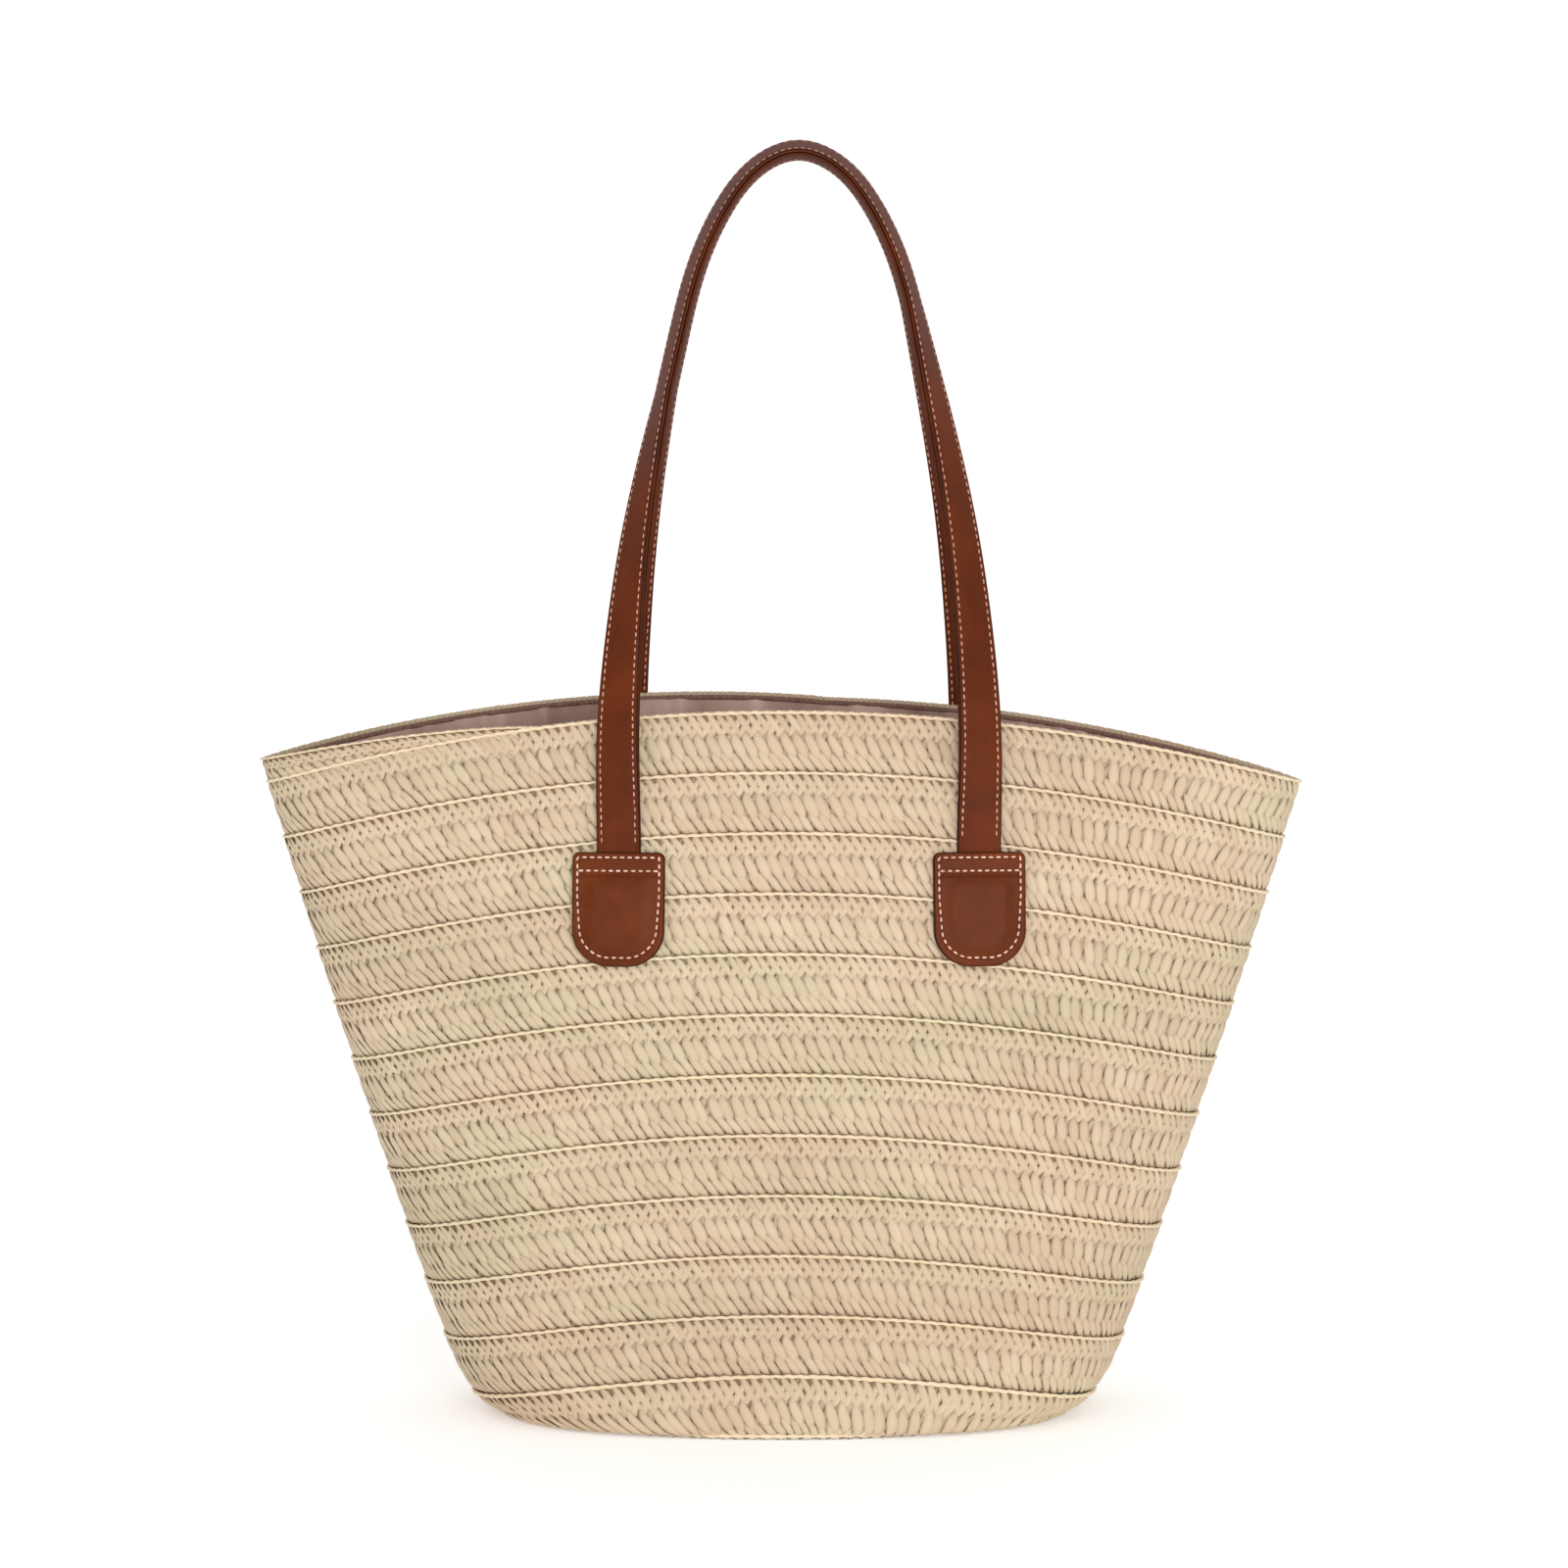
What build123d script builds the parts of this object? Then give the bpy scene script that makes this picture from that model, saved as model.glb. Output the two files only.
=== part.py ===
"""Woven straw beach bag: sewn braid rows on an oval base, satin lining, leather tabs and two shoulder straps.

Millimetres, +Z up, the floor at z = 0. X runs along the bag's length and the front faces -Y.
"""
from build123d import *
import math
import os

# Driving dimensions of the woven body
BODY_HEIGHT = 315.0        # top of the rim at the middle of the front
BASE_HALF_LENGTH = 139.4   # the wall's foot, carried down to the floor without its rounding
BASE_HALF_DEPTH = 77.0
WALL_FLARE = 0.315         # how fast the ends lean outwards, per mm of height
FACE_LEAN = 0.085          # how fast the front and back lean inwards
WALL_BULGE = 3.0           # how far the middle of the wall swells past a straight line
FOOT_TUCK_LENGTH = 17.0    # how far the rounded foot pulls in at the ends
FOOT_TUCK_DEPTH = 3.0
FOOT_RADIUS = 7.0
BASE_SQUARENESS = 2.6      # superellipse exponent of the plan, at the base and at the rim
RIM_SQUARENESS = 2.0
OUTLINE_POINTS = 36
LOFT_HEIGHTS = (0.0, 2.6, 6.0, 11.0, 18.0, 30.0, 55.0, 95.0, 140.0, 185.0, 230.0, 275.0, 330.0)

# Braid rows
ROW_COUNT = 12
BRAID_THICKNESS = 2.2
FLOOR_THICKNESS = 2.6
RIM_HALF_LENGTH = 231.0
RIM_DROP = 33.6            # how much lower the rim is at the ends than at the middle
BASE_DROP = 17.0           # the same for the lowest seam
REACH = 260.0              # half width of the cutting profiles, past both ends of the bag
RIM_PROFILE_REACH = 250.0
RIM_PROFILE_STEPS = 10
BRAID_WIDTH = 26.0
TAIL_HEIGHT = 10.5         # the spiral's tapered last turn, at the left end of the rim
TAIL_POWER = 0.8

# Oval coil of the base
COIL_HALF_LENGTH = 112.0
COIL_HALF_DEPTH = 75.5
COIL_SQUARENESS = 2.3
COIL_RINGS = 3

# Lining, the tape that binds its top edge, and the patches behind the tabs
LINING_THICKNESS = 0.8
LINING_INSET = 4.4
LINING_LIFT = 4.0
LINING_BELOW_RIM = 4.3
TAPE_TOP_BELOW_RIM = 1.0
TAPE_BOTTOM_BELOW_RIM = 4.0
TAPE_INSET = 2.6
TAPE_THICKNESS = 2.4
PATCH_WIDTH = 34.0
PATCH_HEIGHT = 43.0
PATCH_THICKNESS = 1.0
PATCH_BEHIND_FACE = 3.6
PATCH_CORNER = 5.0

# Tabs that hold the straps
TAB_SPACING = 156.0
TAB_SHIFT = 6.5            # both handles are sewn a little right of the middle
TAB_WIDTH = 40.0
TAB_HEIGHT = 49.5
TAB_CENTRE_HEIGHT = 229.5
TAB_TOP_CORNER = 3.0
TAB_BOTTOM_CORNER = 16.0
TAB_STANDOFF = 0.4
TAB_LEATHER = 1.7
STRAP_END_THICKNESS = 2.6
STRAP_END_LENGTH = 36.0
POCKET_CLEARANCE = 0.2

# Straps
STRAP_WIDTH = 19.0
PLY_THICKNESS = 1.6
PLY_GAP = 0.05
HINGE_CLEARANCE = 0.3      # how far above the tabs' top edges the straps' fold line lies
HINGE_STANDOFF = 1.0       # how far in front of the tabs' faces that line lies
APEX_HEIGHT = 560.0
APEX_OFFSET = 11.5         # each strap's distance from the bag's middle plane at the top of the arch
ARCH_HALF_WIDTHS = (       # height above the floor, distance from the arch's own middle
    (300.0, 78.4), (350.0, 75.4), (396.0, 69.8), (437.0, 62.2), (478.0, 53.2),
    (510.0, 44.6), (536.0, 32.4), (553.0, 18.0),
)
TWIST_RATE_LEFT = 1.35     # how quickly each leg turns its face outwards, from the tab up
TWIST_RATE_RIGHT = 1.11
TWIST_START = 13.0         # height above the fold line where the twist begins
TWIST_HEIGHT = 250.0
TWIST_AT_TAB = 6.0         # angle that the face has turned from the bag's face, in degrees
TWIST_AT_TOP = 74.0
LEAN_POWER = 1.7           # the straps stand clear of the rim before they lean inwards
STRAP_SECTIONS = 48

FRONT = -1
BACK = 1
LEFT = -1
RIGHT = 1
FACE_NAMES = {FRONT: "front", BACK: "back"}
SIDE_NAMES = {LEFT: "left", RIGHT: "right"}
TAIL_START = {FRONT: -108.0, BACK: 20.0}   # where the last turn begins to rise above the top row

ROW_PITCH = (BODY_HEIGHT - FLOOR_THICKNESS) / ROW_COUNT


# Shape of the woven body
def half_length(height):
    """Half the bag's length at a height, to the outside of the straw."""
    share = height / BODY_HEIGHT
    bulge = 4.0 * WALL_BULGE * share * (1.0 - share)
    tuck = FOOT_TUCK_LENGTH * math.exp(-height / FOOT_RADIUS)
    return BASE_HALF_LENGTH + WALL_FLARE * height + bulge - tuck


def half_depth(height):
    """Half the bag's depth at a height, to the outside of the straw."""
    share = height / BODY_HEIGHT
    bulge = 4.0 * WALL_BULGE * share * (1.0 - share)
    tuck = FOOT_TUCK_DEPTH * math.exp(-height / FOOT_RADIUS)
    return BASE_HALF_DEPTH - FACE_LEAN * height + bulge - tuck


def squareness(height):
    """Superellipse exponent of the plan at a height."""
    return BASE_SQUARENESS + (RIM_SQUARENESS - BASE_SQUARENESS) * height / BODY_HEIGHT


def superellipse(length, depth, exponent):
    """Points round a superellipse of the given half length and half depth."""
    points = []
    for step in range(OUTLINE_POINTS):
        angle = 2.0 * math.pi * step / OUTLINE_POINTS
        across = math.copysign(abs(math.cos(angle)) ** (2.0 / exponent), math.cos(angle))
        deep = math.copysign(abs(math.sin(angle)) ** (2.0 / exponent), math.sin(angle))
        points.append((length * across, depth * deep))
    return points


def face_depth(x, height):
    """Distance from the middle plane to the outside of the straw, at a place on the front or back."""
    exponent = squareness(height)
    share = min(abs(x) / half_length(height), 1.0)
    return half_depth(height) * (1.0 - share**exponent) ** (1.0 / exponent)


def seam_height(seam, x):
    """Height of a seam between two rows: a circular arc that sags towards both ends of the bag."""
    drop = BASE_DROP + (RIM_DROP - BASE_DROP) * seam / ROW_COUNT
    middle = FLOOR_THICKNESS + seam * ROW_PITCH
    reference = half_length(middle - drop)
    radius = (reference**2 + drop**2) / (2.0 * drop)
    return middle - radius + math.sqrt(radius**2 - x**2)


def hollow_body(inset, lift):
    """The space inside a skin that lies inset from the straw's outside and lift above the floor."""
    with BuildPart() as body:
        for height in LOFT_HEIGHTS:
            outline = superellipse(
                half_length(height) - inset, half_depth(height) - inset, squareness(height)
            )
            with BuildSketch(Plane.XY.offset(height + lift)):
                with BuildLine():
                    Spline(*outline, periodic=True)
                make_face()
        loft()
    return body.part


def below_seam(seam):
    """Profile of everything under a seam, seen from the front."""
    middle = (0, seam_height(seam, 0))
    end = seam_height(seam, REACH)
    with BuildSketch(Plane.XZ) as profile:
        with BuildLine():
            edge = ThreePointArc((-REACH, end), middle, (REACH, end))
            Polyline(edge @ 1, (REACH, -REACH), (-REACH, -REACH), edge @ 0)
        make_face()
    return profile.sketch


def tail_rise(x, face):
    """How far the spiral's last turn stands above the top row, along the back or the front."""
    start = TAIL_START[face]
    share = min(max((start - x) / (start + RIM_HALF_LENGTH), 0.0), 1.0)
    return TAIL_HEIGHT * share**TAIL_POWER


def below_rim(face, drop):
    """Profile of everything under the finished rim of one face, drop below its edge."""
    steps = range(-RIM_PROFILE_STEPS, RIM_PROFILE_STEPS + 1)
    places = [RIM_PROFILE_REACH * step / RIM_PROFILE_STEPS for step in steps]
    top = [(x, seam_height(ROW_COUNT, x) + tail_rise(x, face) - drop) for x in places]
    with BuildSketch(Plane.XZ) as profile:
        with BuildLine():
            edge = Spline(*top)
            Polyline(edge @ 1, (RIM_PROFILE_REACH, -REACH), (-RIM_PROFILE_REACH, -REACH), edge @ 0)
        make_face()
    return profile.sketch


def trimmed_skin(outside, inside, top_drop, bottom_drop=BODY_HEIGHT):
    """The skin between two hollows, trimmed to follow the finished rim on both faces."""
    halves = []
    for face in (FRONT, BACK):
        with BuildPart() as half:
            add(outside)
            add(inside, mode=Mode.SUBTRACT)
            extrude(below_rim(face, top_drop), amount=-face * REACH, mode=Mode.INTERSECT)
            if bottom_drop < BODY_HEIGHT:
                extrude(below_rim(face, bottom_drop), amount=-face * REACH, mode=Mode.SUBTRACT)
        halves.append(half.part)
    with BuildPart() as skin:
        add(halves[0])
        add(halves[1])
    return skin.part


def finish(part, name):
    """Label a piece and write it."""
    part.label = name
    export_step(part, f"parts/{name}.step")


os.makedirs("parts", exist_ok=True)

outside_body = hollow_body(0.0, 0.0)
inside_body = hollow_body(BRAID_THICKNESS, FLOOR_THICKNESS)

with BuildPart() as straw_shell:
    add(outside_body)
    add(inside_body, mode=Mode.SUBTRACT)


# Base: an oval coil of braid, from its outer ring to its core
def coil_outline(ring):
    """Outline of the coil with a number of outer rings taken away."""
    return superellipse(
        COIL_HALF_LENGTH - ring * BRAID_WIDTH, COIL_HALF_DEPTH - ring * BRAID_WIDTH, COIL_SQUARENESS
    )


for ring in range(COIL_RINGS):
    with BuildPart() as base_row:
        with BuildSketch(Plane.XY):
            with BuildLine():
                Spline(*coil_outline(ring), periodic=True)
            make_face()
            if ring < COIL_RINGS - 1:
                with BuildLine():
                    Spline(*coil_outline(ring + 1), periodic=True)
                make_face(mode=Mode.SUBTRACT)
        extrude(amount=FLOOR_THICKNESS)
    finish(base_row.part, f"base_row_{COIL_RINGS - ring}")

# Wall: twelve rows of braid, each a closed band between two sagging seams
for row in range(1, ROW_COUNT + 1):
    with BuildPart() as braid_row:
        add(straw_shell.part)
        extrude(below_seam(row), amount=REACH, both=True, mode=Mode.INTERSECT)
        if row == 1:
            with BuildSketch(Plane.XY):
                with BuildLine():
                    Spline(*coil_outline(0), periodic=True)
                make_face()
            extrude(amount=FLOOR_THICKNESS, mode=Mode.SUBTRACT)
        else:
            extrude(below_seam(row - 1), amount=REACH, both=True, mode=Mode.SUBTRACT)
    finish(braid_row.part, f"braid_row_{row:02d}")

# The spiral's tapered last turn, along the left half of the rim
tail_halves = []
for face in (FRONT, BACK):
    with BuildPart() as tail_half:
        add(straw_shell.part)
        extrude(below_rim(face, 0.0), amount=-face * REACH, mode=Mode.INTERSECT)
        extrude(below_seam(ROW_COUNT), amount=REACH, both=True, mode=Mode.SUBTRACT)
        with BuildSketch(Plane.YZ.offset(TAIL_START[face])):
            Rectangle(2 * REACH, 2 * BODY_HEIGHT + REACH)
        extrude(amount=-REACH, mode=Mode.INTERSECT)
    tail_halves.append(tail_half.part)
with BuildPart() as braid_tail:
    add(tail_halves[0])
    add(tail_halves[1])
finish(braid_tail.part, "braid_tail")

# Lining: a sewn wall and a floor piece, with a narrow tape round its top edge
lining_outside = hollow_body(LINING_INSET, LINING_LIFT)
lining_inside = hollow_body(LINING_INSET + LINING_THICKNESS, LINING_LIFT + LINING_THICKNESS)
floor_outline = superellipse(
    half_length(0) - LINING_INSET - LINING_THICKNESS,
    half_depth(0) - LINING_INSET - LINING_THICKNESS,
    BASE_SQUARENESS,
)

with BuildPart() as lining_floor:
    with BuildSketch(Plane.XY.offset(LINING_LIFT)):
        with BuildLine():
            Spline(*floor_outline, periodic=True)
        make_face()
    extrude(amount=LINING_THICKNESS)
finish(lining_floor.part, "lining_floor")

with BuildPart() as lining_wall:
    add(trimmed_skin(lining_outside, lining_inside, LINING_BELOW_RIM))
    with BuildSketch(Plane.XY):
        with BuildLine():
            Spline(*floor_outline, periodic=True)
        make_face()
    extrude(amount=LINING_LIFT + LINING_THICKNESS, mode=Mode.SUBTRACT)
finish(lining_wall.part, "lining_wall")

tape_outside = hollow_body(TAPE_INSET, LINING_LIFT)
tape_inside = hollow_body(TAPE_INSET + TAPE_THICKNESS, LINING_LIFT)
with BuildPart() as rim_tape:
    add(trimmed_skin(tape_outside, tape_inside, TAPE_TOP_BELOW_RIM, TAPE_BOTTOM_BELOW_RIM))
finish(rim_tape.part, "rim_tape")


# Tabs, the strap ends inside them and the patches behind them
def tab_middle(side):
    """How far along the bag a tab's middle is."""
    return TAB_SHIFT + side * TAB_SPACING / 2


def tab_plane(face, side):
    """Plane that touches the straw at a tab's middle, facing outwards, its Y up the wall."""
    x = tab_middle(side)
    slope_x = (face_depth(x + 1, TAB_CENTRE_HEIGHT) - face_depth(x - 1, TAB_CENTRE_HEIGHT)) / 2
    slope_z = (face_depth(x, TAB_CENTRE_HEIGHT + 1) - face_depth(x, TAB_CENTRE_HEIGHT - 1)) / 2
    return Plane(
        origin=(x, face * face_depth(x, TAB_CENTRE_HEIGHT), TAB_CENTRE_HEIGHT),
        x_dir=(-face, -slope_x, 0),
        z_dir=(-slope_x, face, -slope_z),
    )


TAB_FACE = TAB_STANDOFF + STRAP_END_THICKNESS + TAB_LEATHER

for face in (FRONT, BACK):
    for side in (LEFT, RIGHT):
        plane = tab_plane(face, side)
        suffix = f"{FACE_NAMES[face]}_{SIDE_NAMES[side]}"
        strap_end_middle = (TAB_HEIGHT - STRAP_END_LENGTH) / 2

        with BuildPart() as tab:
            with BuildSketch(plane.offset(TAB_STANDOFF)) as shield:
                Rectangle(TAB_WIDTH, TAB_HEIGHT)
                fillet(shield.vertices().group_by(Axis.Y)[-1], TAB_TOP_CORNER)
                fillet(shield.vertices().group_by(Axis.Y)[0], TAB_BOTTOM_CORNER)
            extrude(amount=TAB_FACE - TAB_STANDOFF)
            with BuildSketch(plane.offset(TAB_STANDOFF)):
                with Locations((0, strap_end_middle)):
                    Rectangle(STRAP_WIDTH + 2 * POCKET_CLEARANCE, STRAP_END_LENGTH + 2 * POCKET_CLEARANCE)
            extrude(amount=STRAP_END_THICKNESS + POCKET_CLEARANCE, mode=Mode.SUBTRACT)
        finish(tab.part, f"tab_{suffix}")

        with BuildPart() as strap_end:
            with BuildSketch(plane.offset(TAB_STANDOFF)):
                with Locations((0, strap_end_middle)):
                    Rectangle(STRAP_WIDTH, STRAP_END_LENGTH)
            extrude(amount=STRAP_END_THICKNESS)
        finish(strap_end.part, f"strap_end_{suffix}")

        with BuildPart() as patch:
            with BuildSketch(plane.offset(-PATCH_BEHIND_FACE)):
                RectangleRounded(PATCH_WIDTH, PATCH_HEIGHT, PATCH_CORNER)
            extrude(amount=PATCH_THICKNESS)
        finish(patch.part, f"patch_{suffix}")


# Straps: two plies each, from tab to tab, turning edge-on towards the top of the arch
def hinge_point():
    """Depth and height of the line that a handle folds along, just above the tabs' top edges."""
    corners = []
    for side in (LEFT, RIGHT):
        plane = tab_plane(BACK, side)
        corners.append(plane.origin + plane.y_dir * TAB_HEIGHT / 2 + plane.z_dir * TAB_FACE)
    depth = max(corner.Y for corner in corners) + HINGE_STANDOFF
    height = max(corner.Z for corner in corners) + HINGE_CLEARANCE
    return depth, height


HINGE_DEPTH, HINGE_HEIGHT = hinge_point()
STRAP_THICKNESS = 2 * PLY_THICKNESS + PLY_GAP


def strap_depth(height):
    """Distance of a strap's middle from the bag's middle plane: up past the rim, then leaning inwards."""
    share = (height - HINGE_HEIGHT) / (APEX_HEIGHT - HINGE_HEIGHT)
    foot = HINGE_DEPTH - HINGE_STANDOFF - STRAP_THICKNESS / 2
    return foot + (APEX_OFFSET - foot) * share**LEAN_POWER


def strap_route(face):
    """Points along a strap's middle, from its left foot over the arch to its right foot."""
    start = HINGE_HEIGHT + HINGE_CLEARANCE
    leg = [(start, TAB_SPACING / 2)] + list(ARCH_HALF_WIDTHS)
    left = [(TAB_SHIFT - out, face * strap_depth(height), height) for height, out in leg]
    top = [(TAB_SHIFT, face * APEX_OFFSET, APEX_HEIGHT)]
    right = [(TAB_SHIFT + out, face * strap_depth(height), height) for height, out in reversed(leg)]
    return left + top + right


def strap_twist(point, side):
    """Angle that the strap's outer face has turned from the bag's face towards the arch's outside."""
    rate = TWIST_RATE_LEFT if side == LEFT else TWIST_RATE_RIGHT
    share = rate * (point.Z - HINGE_HEIGHT - TWIST_START) / TWIST_HEIGHT
    return TWIST_AT_TAB + (TWIST_AT_TOP - TWIST_AT_TAB) * min(max(share, 0.0), 1.0)


def strap_planes(face):
    """Cross-section planes along a strap, X across its width and Y towards its outer face."""
    with BuildLine(mode=Mode.PRIVATE) as route:
        Spline(*strap_route(face), tangents=((0, 0, 1), (0, 0, -1)))
    path = route.wire()
    planes = []
    for step in range(STRAP_SECTIONS + 1):
        share = step / STRAP_SECTIONS
        point = path.position_at(share)
        tangent = path.tangent_at(share)
        side = LEFT if share < 0.5 else RIGHT
        twist = math.radians(strap_twist(point, side))
        outwards = tangent.cross(Vector(0, 1, 0)).normalized()
        facing = Vector(0, face, 0) * math.cos(twist) + outwards * math.sin(twist)
        across = facing.cross(tangent).normalized()
        planes.append(Plane(origin=point, x_dir=across, z_dir=tangent))
    return planes


for face in (FRONT, BACK):
    planes = strap_planes(face)
    for name, level in (("outer", 1), ("inner", -1)):
        with BuildPart() as ply:
            for plane in planes:
                with BuildSketch(plane):
                    with Locations((0, level * (PLY_THICKNESS + PLY_GAP) / 2)):
                        Rectangle(STRAP_WIDTH, PLY_THICKNESS)
            loft(ruled=True)
        finish(ply.part, f"strap_{FACE_NAMES[face]}_{name}")

print(f"hinge line: depth {HINGE_DEPTH:.2f}, height {HINGE_HEIGHT:.2f}")
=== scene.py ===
"""Looks of the woven straw beach bag: plaited braid rows, satin lining, leather tabs and straps.

Sizes are in millimetres in the bag's own frame until a mesh is made, which is in metres.
"""
import math

import bpy
import numpy as np
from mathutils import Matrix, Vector


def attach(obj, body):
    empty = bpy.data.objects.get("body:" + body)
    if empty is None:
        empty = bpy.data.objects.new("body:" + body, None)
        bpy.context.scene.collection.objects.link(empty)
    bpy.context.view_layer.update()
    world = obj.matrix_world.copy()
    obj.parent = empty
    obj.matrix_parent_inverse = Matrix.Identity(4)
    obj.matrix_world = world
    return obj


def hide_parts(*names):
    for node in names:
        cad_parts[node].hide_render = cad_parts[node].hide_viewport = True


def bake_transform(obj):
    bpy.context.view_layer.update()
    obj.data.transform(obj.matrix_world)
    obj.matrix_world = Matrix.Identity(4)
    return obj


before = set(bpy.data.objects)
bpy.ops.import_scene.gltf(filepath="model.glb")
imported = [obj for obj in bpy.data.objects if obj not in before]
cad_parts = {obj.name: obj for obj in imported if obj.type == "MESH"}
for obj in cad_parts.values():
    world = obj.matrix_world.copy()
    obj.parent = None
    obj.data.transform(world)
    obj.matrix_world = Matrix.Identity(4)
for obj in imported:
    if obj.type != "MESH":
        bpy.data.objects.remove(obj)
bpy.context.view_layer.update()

MM = 0.001
TURN = 2.0 * math.pi

# ---- sizes of the woven body
BODY_HEIGHT = 315.0
BASE_HALF_LENGTH = 139.4
BASE_HALF_DEPTH = 77.0
WALL_FLARE = 0.315
FACE_LEAN = 0.085
WALL_BULGE = 3.0
FOOT_TUCK_LENGTH = 17.0
FOOT_TUCK_DEPTH = 3.0
FOOT_RADIUS = 7.0
BASE_SQUARENESS = 2.6
RIM_SQUARENESS = 2.0
ROW_COUNT = 12
FLOOR_THICKNESS = 2.6
ROW_PITCH = (BODY_HEIGHT - FLOOR_THICKNESS) / ROW_COUNT
RIM_DROP = 33.6
BASE_DROP = 17.0
RIM_HALF_LENGTH = 231.0
TAIL_HEIGHT = 10.5
TAIL_POWER = 0.8
TAIL_START = {-1: -108.0, 1: 20.0}
COIL_HALF_LENGTH = 112.0
COIL_HALF_DEPTH = 75.5
COIL_SQUARENESS = 2.3
COIL_RINGS = 3
BRAID_WIDTH = 26.0
FOOT_LIFT = 1.6            # the underside's own surface, so that its strands end above the floor

# Tabs and straps
TAB_SPACING = 156.0
TAB_SHIFT = 6.5
TAB_WIDTH = 40.0
TAB_HEIGHT = 49.5
TAB_CENTRE_HEIGHT = 229.5
TAB_TOP_CORNER = 3.0
TAB_BOTTOM_CORNER = 16.0
TAB_STANDOFF = 0.4
TAB_FACE = 4.7
STRAP_WIDTH = 19.0
PLY_THICKNESS = 1.6
PLY_GAP = 0.05
HINGE_CLEARANCE = 0.3
HINGE_STANDOFF = 1.0       # how far the hinge line lies in front of the tabs' leather
STRAP_ENTRY = 1.95         # middle of the strap's end, off the straw, where it goes under its tab
APEX_HEIGHT = 560.0
APEX_OFFSET = 11.5
ARCH_HALF_WIDTHS = (
    (300.0, 78.4), (350.0, 75.4), (396.0, 69.8), (437.0, 62.2), (478.0, 53.2),
    (510.0, 44.6), (536.0, 32.4), (553.0, 18.0),
)
TWIST_RATES = {-1: 1.35, 1: 1.11}
TWIST_START = 13.0
TWIST_HEIGHT = 250.0
TWIST_AT_TAB = 6.0
TWIST_AT_TOP = 74.0
LEAN_POWER = 1.7

STRAP_IN_TAB = 4.0         # how far a strap's mesh runs down inside its tab
STITCH_LINE = 7.4          # from the middle of a strap to each row of its stitches
STITCH_PITCH = 3.3
TAB_STITCH_PITCH = 3.25
TAB_ROW_DROP = 8.0         # from a tab's top edge to its second row of stitches
TAB_ROW_STITCHES = 11
TAB_PAINTED_RINGS = 4
TAB_INSETS = (             # rings of points from a tab's edge inwards, close together at its seams
    0.0, 0.12, 0.35, 0.7, 1.1, 1.5, 1.85, 2.2, 2.55, 2.9, 3.3, 3.7, 4.1, 4.6, 5.4, 6.3,
    6.8, 7.2, 7.6, 8.0, 8.4, 8.8, 9.2, 9.6, 10.0, 10.4, 10.9, 11.5, 12.5, 14.0, 16.0,
)

# Floor that sweeps up behind the bag, in metres
SWEEP_REACH = 6.0
SWEEP_START = 2.0
SWEEP_RADIUS = 1.5
FLOOR_GLOW = 0.27
WORLD_STRENGTH = 0.7

# Lining: its cut sizes are in metres, as cloth
# Lining, in millimetres
LINING_INSET = 4.4
LINING_LIFT = 4.0
LINING_BELOW_RIM = 2.4
LINING_THICKNESS = 0.8
LINING_COLUMNS = 900

# Plait of the braid
STRAND_PITCH = 5.3
STRAND_ACROSS = 5
CROWN = 0.62               # how much a strand's middle stands above its edges
FLOAT_END_WIDTH = 0.36     # share of a strand's width left where it tucks in
CORD_PLACE = 0.985         # share of a row's width where its edge cord lies
OPEN_SHARE = 0.2           # share of the strands that leave a small hole at their ends
LEAN_PERIOD = 120.0
SHINGLE_LOW = -0.5         # each row's lower edge lies behind the top edge of the row below it
SHINGLE_HIGH = 0.35
FAN_START = 90.0           # where along the front the petals start to lean the other way
FAN_LENGTH = 110.0
GRID_COLUMNS = 900
GRID_ROWS = 33
STRAW_SLOT, CORD_SLOT, SHADED_INSIDE_SLOT = 0, 1, 2
# Brown tint of the painted shade in the plait's grooves
GROOVE_SHADE_TINT = (0.36, 0.30, 0.25, 1.0)
ROSY_TINT = (1.0, 0.958, 0.95)
GREEN_TINT = (0.955, 0.995, 0.955)

# Camera, in metres and degrees
CAMERA_PLACE = (0.0, -2.0, 0.4395)
CAMERA_TARGET = (0.0, 0.0, 0.2795)
CAMERA_ANGLE = 19.746

# ---- camera


def facing(name, data, place, target):
    """A camera or light at a place, facing a target."""
    obj = bpy.data.objects.new(name, data)
    obj.location = place
    obj.rotation_euler = (Vector(target) - Vector(place)).to_track_quat("-Z", "Y").to_euler()
    bpy.context.scene.collection.objects.link(obj)
    return obj


def make_camera():
    """The camera at the height and distance that show the near and far rim as they are seen."""
    data = bpy.data.cameras.new("camera")
    data.sensor_fit = "HORIZONTAL"
    data.angle = math.radians(CAMERA_ANGLE)
    bpy.context.scene.camera = facing("camera", data, CAMERA_PLACE, CAMERA_TARGET)


make_camera()

# ---- shape of the woven body


def wall_bulge(z):
    """How far the wall bulges out at a height, most at half way up."""
    share = z / BODY_HEIGHT
    return 4.0 * WALL_BULGE * share * (1.0 - share)


def half_length(z):
    """Half the body's length at a height: it flares upwards, and tucks in at the foot."""
    return BASE_HALF_LENGTH + WALL_FLARE * z + wall_bulge(z) - FOOT_TUCK_LENGTH * np.exp(-z / FOOT_RADIUS)


def half_depth(z):
    """Half the body's depth at a height: the faces lean in upwards."""
    return BASE_HALF_DEPTH - FACE_LEAN * z + wall_bulge(z) - FOOT_TUCK_DEPTH * np.exp(-z / FOOT_RADIUS)


def squareness(z):
    """Exponent of the plan outline at a height."""
    return BASE_SQUARENESS + (RIM_SQUARENESS - BASE_SQUARENESS) * z / BODY_HEIGHT


def plan_point(angle, exponent):
    """Unit superellipse: how far along and how deep a plan angle is."""
    across = np.sign(np.cos(angle)) * np.abs(np.cos(angle)) ** (2.0 / exponent)
    deep = np.sign(np.sin(angle)) * np.abs(np.sin(angle)) ** (2.0 / exponent)
    return across, deep


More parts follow.
